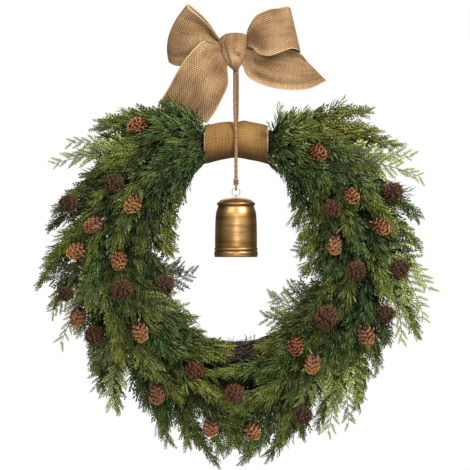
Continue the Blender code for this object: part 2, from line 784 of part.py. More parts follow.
def cone(name, row, plumes, parts, material):
    """A cone: each quad of a lathe-like body is poked out into a scale, and its base is drawn out into a stalk."""
    x, z, turn, lean = row
    tip_way = heading(turn, lean)
    start = Vector((x * MM, foliage_front(x, z), RING_Z + z * MM))
    centre = seat_pick(start, CONE_RADIUS + SCALE_RISE, plumes)
    place = Matrix.Translation(centre) @ tip_way.to_track_quat("Z", "X").to_matrix().to_4x4()
    bm = bmesh.new()
    bmesh.ops.create_uvsphere(bm, u_segments=CONE_SIDES, v_segments=CONE_SIDES, radius=1)
    for v in bm.verts:
        height = v.co.z
        girth = CONE_RADIUS * (1 - 0.18 * height)
        level = Matrix.Rotation(height * CONE_TURN, 3, "Z") @ Vector((v.co.x * girth, v.co.y * girth, 0))
        v.co = (level.x, level.y, height * CONE_LENGTH / 2)
    base = min(bm.verts, key=lambda v: v.co.z)
    for face in [f for f in bm.faces if len(f.verts) == 4]:
        middle = face.calc_center_median()
        out = Vector((middle.x, middle.y, 0)).normalized()
        made = bmesh.ops.poke(bm, faces=[face])
        made["verts"][0].co = middle + out * SCALE_RISE + Vector((0, 0, SCALE_RISE * 0.9))
    base.co = place.inverted() @ stalk_end(place @ base.co, -tip_way, plumes)
    made = mesh_object(name, bm, material, parts, turn_out=False)
    made.matrix_world = place
    return made


def pod(name, row, plumes, parts, material):
    """A spiny ball: an icosphere whose twelve first corners and twenty middle faces are raised into spines."""
    x, z, size = row
    reach = POD_RADIUS * size
    body = reach - SPINE_RISE
    start = Vector((x * MM, foliage_front(x, z), RING_Z + z * MM))
    centre = seat_pick(start, reach, plumes)
    bm = bmesh.new()
    bmesh.ops.create_icosphere(bm, subdivisions=2, radius=body)
    for v in bm.verts:
        if len(v.link_edges) == 5:
            v.co *= reach / body
    middles = [f for f in bm.faces if all(len(v.link_edges) == 6 for v in f.verts)]
    nearest = min((plume.tree.find_nearest(centre) for plume in plumes), key=lambda found: found[3])[0]
    behind = (nearest - centre).normalized()
    stalk_face = max(middles, key=lambda f: f.calc_center_median().normalized().dot(behind))
    for face in middles:
        way = face.calc_center_median().normalized()
        made = bmesh.ops.poke(bm, faces=[face])
        spine = made["verts"][0]
        if face is stalk_face:
            spine.co = stalk_end(centre + way * body, way, plumes) - centre
        else:
            spine.co = way * reach
    made = mesh_object(name, bm, material, parts, turn_out=False)
    made.location = centre
    return made


def foliage_front(x, z):
    """How far forward a cone or pod starts, deepest where the foliage is thickest."""
    reach = math.hypot(x, z)
    return (-58 + 30 * ((reach - 190) / 110) ** 2) * MM


def main():
    clear_scene()
    parts = new_collection("christmas_wreath")
    cutters = new_collection("cutters", render=False)
    burlap = principled("burlap", BURLAP, 0.95)
    jute = principled("jute", STRAW, 0.9)
    brass = principled("brass", BRASS, 0.35, 1)
    silver = principled("silver", SILVER, 0.25, 1)
    vine_brown = principled("vine_brown", VINE_BROWN, 0.85)
    cedar_green = principled("cedar_green", CEDAR_GREEN, 0.75)
    fern_green = principled("fern_green", FERN_GREEN, 0.75)
    cone_brown = principled("cone_brown", CONE_BROWN, 0.7)
    pod_brown = principled("pod_brown", POD_BROWN, 0.85)

    ring = vine_ring(parts, vine_brown)
    band = strap(parts, burlap)
    loops = ribbon("bow_loops", LOOP_SECTIONS, 4, True, parts, burlap)
    tails = ribbon("bow_tails", TAIL_SECTIONS, 4, False, parts, burlap)
    knot = bow_knot(parts, burlap)
    twine = jute_twine(parts, jute)
    link = split_ring(parts, silver)
    made_bell = bell(parts, cutters, brass)
    staple = bell_staple(parts, brass)
    tongue = clapper(parts, brass)
    hang(made_bell, link)
    hang(staple, made_bell)
    hang(tongue, made_bell)

    ring_tree = tree_of(ring)
    cedar = grow_bunches(CEDAR, False, PLUME_SEGMENTS, ring_tree, parts, cedar_green)
    fern = grow_bunches(FERN, True, SPRAY_SEGMENTS, ring_tree, parts, fern_green)
    bunches = {**cedar, **fern}
    plumes = [plume for _, group in bunches.values() for plume in group]

    picks = [cone(f"cone_{i:02d}", row, plumes, parts, cone_brown) for i, row in enumerate(CONES, 1)]
    picks += [pod(f"pod_{i:02d}", row, plumes, parts, pod_brown) for i, row in enumerate(PODS, 1)]

    fixed = [tree_of(thing) for thing in (ring, band, loops, tails, knot, twine, link, made_bell, *picks)]
    fixed += [tree_of(root) for root, _ in bunches.values()]
    for plume in plumes:
        others = [other.tree for other in plumes if other is not plume]
        plume.grow(fixed + others)
    for name, (root, group) in bunches.items():
        join_union(root, [plume.stem for plume in group], parts)


main()
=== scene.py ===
"""The looks of a christmas wreath: cedar plumes, fern sprays, cones and sweet-gum pods on a vine ring.

It hangs by jute twine under a burlap bow, with an antiqued brass bell in its middle. Metres, +Z up.
The wreath faces -Y, and the origin is the middle of the twine's eye.
"""

import math
import random

import bmesh
import bpy
from mathutils import Matrix, Vector, noise


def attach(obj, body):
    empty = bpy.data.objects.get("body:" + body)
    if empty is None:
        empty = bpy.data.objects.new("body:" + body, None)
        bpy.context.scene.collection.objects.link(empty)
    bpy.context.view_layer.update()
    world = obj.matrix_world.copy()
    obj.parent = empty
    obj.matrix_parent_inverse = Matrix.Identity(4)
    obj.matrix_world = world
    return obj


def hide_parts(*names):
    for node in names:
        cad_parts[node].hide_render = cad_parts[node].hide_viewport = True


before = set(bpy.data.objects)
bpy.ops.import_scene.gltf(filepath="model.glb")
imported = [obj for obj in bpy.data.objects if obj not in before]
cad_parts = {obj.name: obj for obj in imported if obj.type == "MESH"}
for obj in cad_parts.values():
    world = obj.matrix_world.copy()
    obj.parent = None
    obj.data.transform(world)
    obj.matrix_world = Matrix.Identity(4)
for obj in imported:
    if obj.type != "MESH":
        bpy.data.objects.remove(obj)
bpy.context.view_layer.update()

MM = 0.001

# Vine ring and the burlap band round its top
RING_Z = -298.5 * MM
RING_RADIUS = 163.5 * MM
STRAP_RADIUS = 26.0 * MM
STRAP_HALF_WIDTH = 48.4 * MM
RIBBON_WIDTH = 98 * MM
STRAP_THICK = 1.1 * MM
RIBBON_THICK = 1.0 * MM

# Jute twine
TWINE_RADIUS = 2.6 * MM
EYE_RADIUS = 5 * MM  # of the eye that the nail fills
PAIR_OFFSET = 1.85 * MM
KNOT_FOOT_Z = -32 * MM  # the two strands run side by side down to here, behind the bow
WRAP_TOP_Z = RING_Z + RING_RADIUS
STRAND_Y = -29.0 * MM
BELL_KNOT_TOP_Z = -193.5 * MM
BELL_KNOT_Z = -200.5 * MM
BELL_KNOT_HEIGHT = 10.5 * MM
BELL_EYE_RADIUS = 3.6 * MM
SEAT = 0.3 * MM + 1.7 * MM  # from the split ring's wire to the middle of the twine that goes through it

# Split ring, bell, staple and clapper
SPLIT_RING_RADIUS = 6.1 * MM
SPLIT_RING_WIRE = 0.9 * MM
SPLIT_RING_Z = -213.8 * MM
BELL_CROWN_Z = -221 * MM
STAPLE_TOP_Z = -218.0 * MM
STAPLE_FOOT_Z = -226.8 * MM
STAPLE_RADIUS = 3 * MM
STAPLE_FOOT_ARC = 2.2 * MM
STAPLE_WIRE = 0.7 * MM
CLAPPER_EYE_RADIUS = 2.4 * MM
CLAPPER_EYE_RISE = 1.8 * MM  # of the top of the clapper's eye over the staple's foot that it hangs on
CLAPPER_EYE_Z = STAPLE_FOOT_Z + CLAPPER_EYE_RISE - CLAPPER_EYE_RADIUS
CLAPPER_WIRE = 0.8 * MM
CLAPPER_ROD = 1.1 * MM
CLAPPER_BALL_RADIUS = 7 * MM
CLAPPER_BALL_Z = -299 * MM

# Foliage
FORK_RADIUS = 166 * MM
FORK_Y = -36 * MM
PLUME_BULGE = 10 * MM
SPRIG_LENGTH = 42 * MM
SPRIG_STEP = 3.9 * MM
# Degrees round its stem of each next sprig of a plume: 0 and 180 are flat, and -90 is to the front
SPRIG_TURNS = (0, 180, -62, -118, 22, 158, -90, -30, -150, 60)
FIRST_ROOT = 17.5  # degrees from the ring's top to the nearest root, at the strap's edge
# painted shade: the backing plumes are painted dark to stand for the shade behind the others
BACKING_SHADE = 0.8  # of the dark plumes that close the gaps behind the others
RIB_LENGTH = 32 * MM  # of a flat spray's side rib

# Each cedar bunch's clock angle on the ring, positive to the right of its top
BUNCHES = {
    "cedar_right_1": 21, "cedar_right_2": 53, "cedar_right_3": 84, "cedar_right_4": 113, "cedar_right_5": 141,
    "cedar_left_1": -20, "cedar_left_2": -51, "cedar_left_3": -80, "cedar_left_4": -108, "cedar_left_5": -136,
}

# Cedar plumes of the right half and of the left half, as (clock angle, radius mm, y mm) of the tip and the
# plume's tone from blue-green to yellow-green. Outer ones make the wreath's outline, inner ones its hole's.
OUTER_LAG = 25  # degrees from a plume's root to its tip
OUTER_RIGHT = (
    (18, 204, -20, 0.5), (25, 218, -14, 0.5), (33, 222, -30, 0.6), (40, 246, -16, 0.6), (46, 274, -34, 0.8),
    (52, 262, -46, 0.9), (57, 284, -24, 0.8), (66, 238, -40, 0.5), (72, 248, -18, 0.5), (79, 268, -34, 0.3),
    (89, 268, -24, 0.3), (97, 256, -34, 0.4), (106, 258, -16, 0.6), (115, 292, -24, 0.7),
    (123, 256, -38, 0.4), (132, 272, -20, 0.5), (139, 278, -36, 0.7), (144, 292, -18, 0.6),
    (150, 272, -34, 0.6), (157, 286, -16, 0.6), (163, 264, -38, 0.5), (168, 282, -22, 0.5),
    (172, 298, -14, 0.6), (178, 302, -20, 0.6),
)
OUTER_LEFT = (
    (16, 188, -18, 0.3), (23, 212, -12, 0.4), (29, 236, -22, 0.4), (38, 252, -12, 0.3), (45, 272, -28, 0.4),
    (51, 268, -36, 0.3), (57, 258, -18, 0.5), (64, 250, -38, 0.4), (70, 254, -18, 0.5), (78, 272, -26, 0.4),
    (84, 274, -12, 0.3), (90, 260, -34, 0.5), (96, 278, -18, 0.5), (101, 294, -8, 0.7), (109, 280, -20, 0.4),
    (117, 258, -34, 0.3), (124, 254, -18, 0.3), (131, 270, -30, 0.3), (137, 288, -12, 0.4),
    (145, 290, -24, 0.3), (152, 262, -36, 0.3), (158, 268, -20, 0.3), (163, 294, -18, 0.4),
    (169, 284, -30, 0.4), (174, 306, -12, 0.5), (180, 276, -30, 0.5), (186, 258, -34, 0.4),
)
MIDDLE_LAG = 27
MIDDLE = (
    (34, 214, -50, 0.5), (46, 228, -56, 0.6), (58, 232, -60, 0.4), (71, 224, -60, 0.3), (84, 236, -60, 0.5),
    (97, 226, -60, 0.3), (110, 234, -60, 0.4), (123, 222, -60, 0.3), (136, 236, -58, 0.4),
    (148, 224, -60, 0.5), (160, 240, -56, 0.4), (171, 224, -58, 0.5), (182, 244, -54, 0.4),
)
FRONT_LAG = 29
FRONT = (
    (31, 184, -48, 0.4), (43, 176, -58, 0.3), (56, 168, -60, 0.5), (69, 182, -62, 0.3), (82, 172, -62, 0.4),
    (95, 182, -64, 0.3), (108, 172, -62, 0.5), (121, 184, -62, 0.3), (134, 172, -64, 0.4),
    (147, 186, -62, 0.3), (158, 178, -64, 0.5), (170, 194, -60, 0.4),
)
INNER_LAG = 27
INNER = (
    (27, 150, -38, 0.4), (38, 132, -42, 0.3), (52, 114, -40, 0.5), (66, 104, -38, 0.3), (80, 97, -38, 0.6),
    (94, 99, -38, 0.5), (108, 110, -40, 0.6), (122, 125, -40, 0.5), (134, 130, -40, 0.4),
    (146, 132, -40, 0.5), (157, 140, -42, 0.4), (167, 150, -42, 0.5),
)
LINING = (
    (40, 152, -50, 0.3), (53, 144, -52, 0.4), (66, 140, -52, 0.2), (79, 140, -52, 0.4), (92, 142, -54, 0.3),
    (105, 146, -54, 0.4), (118, 150, -54, 0.3), (131, 152, -54, 0.5), (144, 156, -52, 0.3),
    (156, 160, -50, 0.4),
)
BACKING = (
    (28, 206, -8, 0.2), (37, 226, -6, 0.1), (46, 240, -6, 0.2), (55, 244, -4, 0.1), (64, 236, -6, 0.2),
    (73, 242, -6, 0.1), (82, 240, -4, 0.2), (91, 238, -6, 0.1), (100, 244, -6, 0.2), (109, 246, -4, 0.1),
    (118, 238, -6, 0.2), (127, 236, -6, 0.1), (136, 246, -4, 0.2), (145, 250, -6, 0.1), (154, 246, -6, 0.2),
    (163, 244, -4, 0.1), (172, 250, -6, 0.2), (181, 256, -6, 0.1), (60, 148, -8, 0.2), (78, 144, -8, 0.1),
    (96, 146, -8, 0.2), (114, 150, -8, 0.1), (132, 152, -8, 0.2), (150, 158, -8, 0.1), (160, 208, -10, 0.1),
    (172, 206, -10, 0.2), (183, 212, -10, 0.1), (178, 186, -10, 0.1), (176, 232, -6, 0.2),
    (164, 226, -8, 0.1), (34, 186, -14, 0.1), (48, 190, -14, 0.2), (66, 190, -14, 0.1), (84, 190, -14, 0.2),
    (102, 190, -14, 0.1), (120, 190, -14, 0.2), (138, 192, -14, 0.1), (48, 146, -12, 0.1),
    (70, 128, -16, 0.2), (88, 122, -16, 0.1), (105, 128, -16, 0.2), (184, 198, -14, 0.1),
    (172, 206, -14, 0.1), (168, 268, -14, 0.2), (177, 258, -14, 0.2),
)
DROOPING_LAG = 10
DROOPING = ((160, 284, -34, 0.4), (168, 288, -28, 0.5), (175, 290, -34, 0.4), (181, 282, -26, 0.5))
LEFT_FOOT_LAG = 30
LEFT_FOOT = ((176, 150, -50, 0.7), (170, 166, -58, 0.5))  # of the left half, with tips over the bare vine
CROSSING_LAG = 34
CROSSING = ((187, 184, -66, 0.6),)  # the plume of the right half whose tip crosses the bottom of the ring

# Pale flat sprays: the root's angle, then each tip as above, with its tone from dark olive to yellow-green
FERN = {
    "fern_upper_left": (
        -38, (-58, 300, 0, 0.8), (-66, 306, -34, 0.9), (-61, 284, -44, 0.6), (-79, 172, -66, 0.45),
    ),
    "fern_left": (
        -93, (-110, 300, 0, 0.9), (-119, 302, -34, 0.8), (-100, 288, -40, 0.2), (-112, 262, -60, 0.3),
    ),
    "fern_lower_left": (
        -121, (-135, 304, 2, 0.8), (-143, 308, -34, 0.7), (-131, 282, -42, 0.3), (-150, 232, -62, 0.35),
    ),
    "fern_inner_left": (
        -101, (-121, 72, -16, 0.0), (-139, 118, -12, 0.8), (-109, 82, -26, 0.0), (-136, 142, -62, 0.4),
    ),
    "fern_upper_right": (
        40, (63, 302, -2, 0.9), (70, 302, -38, 1.0), (60, 256, -66, 0.2), (66, 226, -64, 0.25),
    ),
    "fern_right": (70, (103, 302, -2, 0.9), (112, 306, -38, 1.0), (120, 286, -42, 0.8), (94, 90, -24, 0.1)),
    "fern_lower_right": (
        128, (148, 320, 0, 0.9), (154, 312, -36, 1.0), (141, 294, -44, 0.8), (160, 262, -60, 0.6),
    ),
    "fern_inner_right": (119, (146, 88, -14, 0.4), (158, 110, -10, 0.55), (128, 96, -30, 0.2)),
}

# Cones as (centre x, y, z mm, turn of the tip from straight down in degrees, lean to the front,
# foot of the stalk x, y, z mm, warmth)
CONES = (
    (-148.5, -58.7, -114.5, -75, 45, -134.5, -43.5, -110.4, 0.5),
    (-155.0, -74.8, -234.0, -35, 35, -148.8, -51.8, -223.2, 0.8),
    (-214.0, -80.2, -264.5, -60, 15, -194.1, -62.6, -250.6, 0.4),
    (-239.0, -74.0, -303.0, -75, 25, -222.0, -63.3, -297.2, 1.0),
    (-174.0, -79.4, -317.5, -10, 30, -171.0, -61.8, -302.6, 0.6),
    (-237.5, -46.1, -402.5, -20, 10, -228.5, -32.5, -380.3, 0.7),
    (-142.0, -78.0, -424.5, 20, 15, -144.0, -61.2, -400.1, 1.0),
    (-117.5, -61.5, -517.5, 8, 20, -115.5, -59.7, -492.3, 0.4),
    (-37.5, -41.5, -567.5, -5, 15, -40.6, -46.8, -538.1, 0.9),
    (25.0, -40.4, -571.5, 30, 20, -24.5, -45.6, -547.9, 0.8),
    (88.5, -87.1, -444.5, 10, 65, 86.8, -47.1, -446.0, 0.2),
    (113.5, -79.3, -471.5, -10, 10, 103.8, -68.2, -441.0, 0.9),
    (194.0, -75.2, -429.5, 25, 20, 183.7, -63.6, -412.1, 0.5),
    (147.0, -61.4, -294.0, 10, 15, 163.5, -58.3, -260.0, 0.9),
    (217.0, -75.9, -267.0, 45, 40, 197.5, -61.6, -258.5, 0.4),
    (123.0, -78.0, -156.5, 55, 60, 117.5, -58.8, -152.6, 0.2),
    (172.0, -72.0, -221.0, 40, 45, 158.2, -50.0, -216.7, 0.4),
)
CONE_LENGTH = 33 * MM
MOST_LEAN = 42  # degrees
CONE_RADIUS = 11 * MM

# Pods as (centre x, y, z mm, size, foot of the stalk x, y, z mm, warmth)
PODS = (
    (-181.5, -65.4, -201.0, 1, -178.6, -46.4, -203.5, 0.2),
    (-250.5, -60.1, -231.5, 1, -246.3, -42.5, -232.8, 0.1),
    (-170.0, -77.8, -359.5, 1.08, -161.3, -61.8, -362.0, 0.3),
    (-106.5, -55.6, -352.5, 1.05, -107.9, -39.6, -345.5, 0.3),
    (-253.5, -57.0, -366.5, 0.8, -250.7, -42.5, -365.3, 0.0),
    (-212.5, -49.3, -428.5, 1, -194.2, -45.3, -432.8, 0.2),
    (-61.5, -58.0, -479.5, 1, -77.8, -50.5, -493.5, 1.0),
    (-2.0, -66.3, -514.5, 1, -7.4, -57.5, -500.2, 1.0),
    (100.5, -53.1, -546.5, 1, 89.9, -40.5, -538.1, 0.3),
    (133.5, -89.5, -400.5, 1.2, 135.3, -71.8, -401.0, 0.5),
    (223.5, -50.8, -396.5, 1, 244.5, -42.6, -390.1, 0.1),
    (244.5, -54.2, -327.5, 1, 242.8, -35.7, -320.7, 0.2),
    (179.0, -75.8, -331.5, 1, 172.9, -61.0, -321.4, 0.3),
    (144.0, -67.1, -239.5, 0.95, 155.8, -55.3, -237.9, 0.5),
    (235.5, -49.0, -213.5, 1.05, 227.1, -24.5, -212.0, 0.3),
)
POD_RADIUS = 14.5 * MM
POD_CORE_RADIUS = 12.3 * MM

# Where cones and pods are, and how far round their middles no sprig may hide them
CONE_MARGIN = 3 * MM
POD_MARGIN = 0.5 * MM
COVERED_CONE = 9  # the tenth cone is mostly under its plume
COVERED_CONE_CLEAR = 6 * MM
PICKS = [(x * MM, y * MM, z * MM, CONE_RADIUS + CONE_MARGIN) for x, y, z, *_ in CONES]
PICKS[COVERED_CONE] = (*PICKS[COVERED_CONE][:3], COVERED_CONE_CLEAR)
PICKS += [(x * MM, y * MM, z * MM, size * POD_RADIUS + POD_MARGIN) for x, y, z, size, *_ in PODS]

# Half of the bell's outside, from its crown to its lip, as (radius mm, mm below the crown)
BELL_OUTSIDE = (
    (0, 0), (4.5, 0.1), (11, 0.7), (16, 1.8), (20.5, 3.5), (24, 5.6), (26.0, 7.4), (27.6, 8.4), (28.5, 9.6),
    (28.6, 11), (28.1, 12.2), (27.2, 13.1), (26.9, 14.3), (27.6, 16.5), (28.7, 19.2), (29.8, 23.0),
    (30.5, 28), (31.0, 36), (31.3, 46), (31.5, 58), (31.6, 70), (31.3, 75), (31.4, 76), (32.3, 77),
    (32.6, 78.2), (32.3, 79.4), (31.6, 80.4), (31.6, 81.4), (32.5, 82.6), (32.9, 84.0), (32.8, 86.0),
    (32.4, 88.6), (31.8, 90.0), (31.0, 90.3),
)
BELL_INSIDE = (
    (29.9, 90.0), (29.6, 88), (29.6, 60), (28.4, 28), (26.6, 19), (24.6, 14), (21, 6.5), (12, 3.2), (0, 2.2),
)
# The dark lines round it, as (mm below the crown, how dark)
BELL_GROOVES = ((5.6, 0.15), (12.8, 0.8), (14.3, 0.6), (75.2, 0.75), (81.0, 0.9), (90.3, 1.0))
BELL_GROOVE_WIDTH = 1.1

# Ribbon sections in mm from the eye: x and z of one edge, x and z of the other, y, and how far the middle
# bows out in x
BACK_LAYER = -3.0
FRONT_LAYER = -4.7
TAIL_LAYER = -6.4
LOOP_SECTIONS = (
    (0, 8, 0, -7, BACK_LAYER, 0), (-22, 15, -22, -8, BACK_LAYER, 0), (-43, 44, -48, -14, -1, 0),
    (-62, 63, -74, -22, 1, -4), (-71, 68.5, -92, -22, -4, -10), (-72.5, 68, -101, -17, -11, -13),
    (-69, 62, -93, -22, -20, -9), (-60, 54, -76, -20, -27, -3), (-42, 37, -46, 0, -29, 0),
    (-22, 13, -22, 2, -9, 0), (0, 8, 0, -7, FRONT_LAYER, 0), (14, 22, 14, 5, FRONT_LAYER, 0),
    (20, 37, 24, 4, -12, 0), (31, 52.5, 34, -6, -21, 0), (50, 61, 50, -9.5, -28, 0),
    (64, 63, 66, -4.5, -30, 0), (75, 65.5, 84, 1.5, -27, 0), (81, 64, 96.5, -2, -15, 0),
    (80, 62, 92, -6, -5, 0), (62, 60, 66, -12, 3, 0), (42, 54, 42, -13, 0, 0),
    (22, 22, 22, -9, BACK_LAYER, 0),
)
TAIL_SECTIONS = (
    (-116, -80, -44, -110, -12, 0), (-100, -54, -32, -94, -21, 0), (-88, -33, -21, -74, -29, 0),
    (-74, -12, -12.5, -56, -34, 0), (-60, 4, -11.5, -42, -34, 0), (-46, 14, -13, -31, -29, 0),
    (-28, 12, -13, -24, -17, 0), (-16, 0, -9, -20, TAIL_LAYER, 0), (0, 6, 0, -8, TAIL_LAYER, 0),
    (20, 0, 10, -24, TAIL_LAYER, 0), (34, 1, 18, -40, -13, 0), (56, 2, 42, -53, -16, 0),
    (80, 0, 76, -60, -18, 0), (97, -5, 110, -58, -16, 0), (104, -14, 136, -46, -15, 0),
)
# Half of the knot's outline by height, as (z, left x, right x, how far it stands forward) in mm from the eye
KNOT_SECTIONS = (
    (26.5, -1, 1, 2), (25.5, -13, 11, 8), (22, -20, 15.5, 12), (17, -25, 17, 15), (11, -28, 16.5, 16.5),
    (4, -25.5, 15, 17), (-4, -23.5, 14, 17), (-12, -20, 12, 16), (-20, -14.5, 9, 13), (-26, -9, 5.5, 9),
    (-30, -4, 3, 5), (-31.5, -1, 1, 2),
)


def shade(red, green, blue):
    """A colour from its 0 to 255 screen values."""
    shares = (red / 255, green / 255, blue / 255)
    return tuple(((v + 0.055) / 1.055) ** 2.4 if v > 10 / 255 else v / 12.92 for v in shares)


# Materials


class Value:
    """What one socket gives. Its operators add Math nodes."""

    def __init__(self, paint, socket):
        self.paint = paint
        self.socket = socket

    def math(self, operation, first, second=0.0):
        return self.paint.node("ShaderNodeMath", {"operation": operation}, {0: first, 1: second})

    def __add__(self, other):
        return self.math("ADD", self, other)

    def __radd__(self, other):
        return self.math("ADD", other, self)

    def __sub__(self, other):
        return self.math("SUBTRACT", self, other)

    def __rsub__(self, other):
        return self.math("SUBTRACT", other, self)

    def __mul__(self, other):
        return self.math("MULTIPLY", self, other)

    def __rmul__(self, other):
        return self.math("MULTIPLY", other, self)

    def __truediv__(self, other):
        return self.math("DIVIDE", self, other)

    def __abs__(self):
        return self.math("ABSOLUTE", self)

    def sine(self):
        return self.math("SINE", self)

    def rise(self, low, high):
        """0 below low, 1 above high and smooth between."""
        return self.paint.node(
            "ShaderNodeMapRange",
            {"interpolation_type": "SMOOTHSTEP"},
            {"Value": self, "From Min": low, "From Max": high},
        )


class Paint:
    """A material, with one method that adds a node and a few that name the nodes used most."""

    def __init__(self, name, **constants):
        self.material = bpy.data.materials.new(name)
        self.material.use_nodes = True
        self.tree = self.material.node_tree
        self.shader = self.tree.nodes["Principled BSDF"]
        for socket, value in constants.items():
            self.plug(self.shader.inputs[socket.replace("_", " ").title().replace("Ior", "IOR")], value)

    def plug(self, socket, value):
        if isinstance(value, Value):
            self.tree.links.new(value.socket, socket)
        elif isinstance(value, tuple) and socket.type == "RGBA":
            socket.default_value = (*value[:3], 1)
        else:
            socket.default_value = value

    def node(self, kind, settings=None, sockets=None, out=0):
        made = self.tree.nodes.new(kind)
        for key, value in (settings or {}).items():
            setattr(made, key, value)
        for key, value in (sockets or {}).items():
            self.plug(made.inputs[key], value)
        return Value(self, made.outputs[out])

    def place(self, scale=(1, 1, 1), out="Object"):
        """Object coordinates, or the piece's own UV map, stretched by the scale."""
        where = self.node("ShaderNodeTexCoord", out=out)
        return self.node("ShaderNodeMapping", sockets={"Vector": where, "Scale": scale})

    def axis(self, vector, index):
        return self.node("ShaderNodeSeparateXYZ", sockets={0: vector}, out=index)

    def cloud(self, scale, detail=2.0, where=None, roughness=0.5):
        sockets = {"Vector": where or self.place(), "Scale": scale, "Detail": detail, "Roughness": roughness}
        return self.node("ShaderNodeTexNoise", sockets=sockets)

    def attribute(self, name):
        return self.node("ShaderNodeAttribute", {"attribute_name": name}, out="Fac")

    def mix(self, share, first, second):
        settings = {"data_type": "RGBA", "clamp_factor": True}
        return self.node("ShaderNodeMix", settings, {0: share, 6: first, 7: second}, out=2)

    def finish(self, colour, roughness=None, height=None, distance=0.5 * MM, strength=1.0):
        """Feeds the shader what varies over the surface."""
        self.plug(self.shader.inputs["Base Color"], colour)
        if roughness is not None:
            self.plug(self.shader.inputs["Roughness"], roughness)
        if height is not None:
            bump = {"Height": height, "Distance": distance, "Strength": strength}
            self.plug(self.shader.inputs["Normal"], self.node("ShaderNodeBump", sockets=bump))
        return self.material


def cedar_paint():
    """Near black at each needle's root as painted shade, and paler at its tip, partly as pale new growth and
    partly as painted highlight; darker where its painted shade is high, and from blue-green to yellow-green
    by its tone.
    """
    paint = Paint("cedar_green", specular_ior_level=0.2)
    tip = paint.attribute("tip")
    tone = paint.attribute("tone")
    dim = paint.attribute("dim")
    fleck = paint.cloud(160, 3)
    body = paint.mix(tone, shade(50, 77, 32), shade(114, 118, 38))
    light = paint.mix(tone, shade(150, 176, 122), shade(218, 218, 132))
    # deep is the near-black painted shade of the foliage's depths
    deep = paint.mix(tone, shade(6, 10, 2), shade(17, 19, 3))
    lower = paint.mix(tip.rise(0.05, 0.55), deep, body)
    # painted highlight, with pale new growth, on the needles' tips
    share = tip.rise(0.5, 1.0) * (0.2 + fleck.rise(0.3, 0.7) * 0.7)
    colour = paint.mix(share, lower, light)
    # painted shade by each needle's dim value
    colour = paint.mix(dim * 0.85, colour, deep)
    return paint.finish(colour, roughness=0.48 + 0.25 * fleck)


def fern_paint():
    """Olive leaflets with pale tips, on dark ribs."""
    paint = Paint("fern_green", roughness=0.6)
    tone = paint.attribute("tone")
    tip = paint.attribute("tip")
    fleck = paint.cloud(220, 2)
    leaf = paint.mix(tone.rise(0.0, 0.8), shade(44, 54, 24), shade(112, 124, 46))
    pale = paint.mix(tone.rise(0.0, 1.0), shade(58, 70, 38), shade(182, 194, 112))
    green = paint.mix(tip.rise(0.25, 0.9) * (0.6 + 0.4 * fleck), leaf, pale)
    rib = paint.mix(fleck, shade(26, 20, 12), shade(66, 50, 28))
    return paint.finish(paint.mix(paint.attribute("rib"), green, rib))


def twig_paint():
    """Rough dark bark."""
    paint = Paint("vine_bark", roughness=0.8)
    grain = paint.cloud(90, 4)
    colour = paint.mix(grain.rise(0.3, 0.75), shade(14, 8, 6), shade(60, 38, 27))
    return paint.finish(colour, height=paint.cloud(420, 3), distance=0.6 * MM)


def stalk_paint():
    paint = Paint("stalk", roughness=0.7)
    colour = paint.mix(paint.cloud(300, 3), shade(120, 100, 66), shade(186, 164, 118))
    return paint.finish(colour)


def cone_paint():
    """Painted shade darkens the scales' hidden bases and the core between them; their faces go from reddish
    brown to gold by the cone's warmth, and their rims are pale, partly paler wood and partly painted
    highlight.
    """
    paint = Paint("cone_scales", roughness=0.4, specular_ior_level=0.3)
    edge = paint.attribute("edge")
    warmth = paint.attribute("tone")
    streak = paint.cloud(500, 3)
    # inner: painted shade on the scales' hidden bases and on the core
    inner = paint.mix(streak, shade(22, 9, 5), shade(54, 24, 12))
    middle = paint.mix(warmth, shade(84, 38, 22), shade(130, 74, 32))
    # rim: pale scale edges, partly paler wood and partly painted highlight
    rim = paint.mix(warmth, shade(186, 122, 82), shade(252, 206, 128))
    colour = paint.mix(edge.rise(0.35, 0.8), inner, middle)
    colour = paint.mix(edge.rise(0.84, 0.96) * (0.1 + 0.9 * streak.rise(0.4, 0.6)), colour, rim)
    return paint.finish(colour, height=streak, distance=0.3 * MM)


def pod_paint():
    """Painted shade darkens the holes of the mouths and the sunken core between them; the rims and beaks are
    paler, partly paler husk and partly painted highlight; from brown to reddish by its warmth.
    """
    paint = Paint("pod_husk", roughness=0.9, specular_ior_level=0.15)
    edge = paint.attribute("edge")
    warmth = paint.attribute("tone")
    grain = paint.cloud(700, 3)
    body = paint.mix(warmth, shade(58, 42, 27), shade(92, 54, 38))
    light = paint.mix(warmth, shade(112, 90, 60), shade(138, 92, 66))
    # painted shade in the holes and on the sunken core between the mouths
    colour = paint.mix(edge.rise(0.1, 0.6), shade(14, 8, 6), body)
    # paler rims and beaks, partly paler husk and partly painted highlight
    colour = paint.mix(edge.rise(0.6, 1.0) * grain.rise(0.3, 0.6), colour, light)
    return paint.finish(colour, height=grain, distance=0.4 * MM)


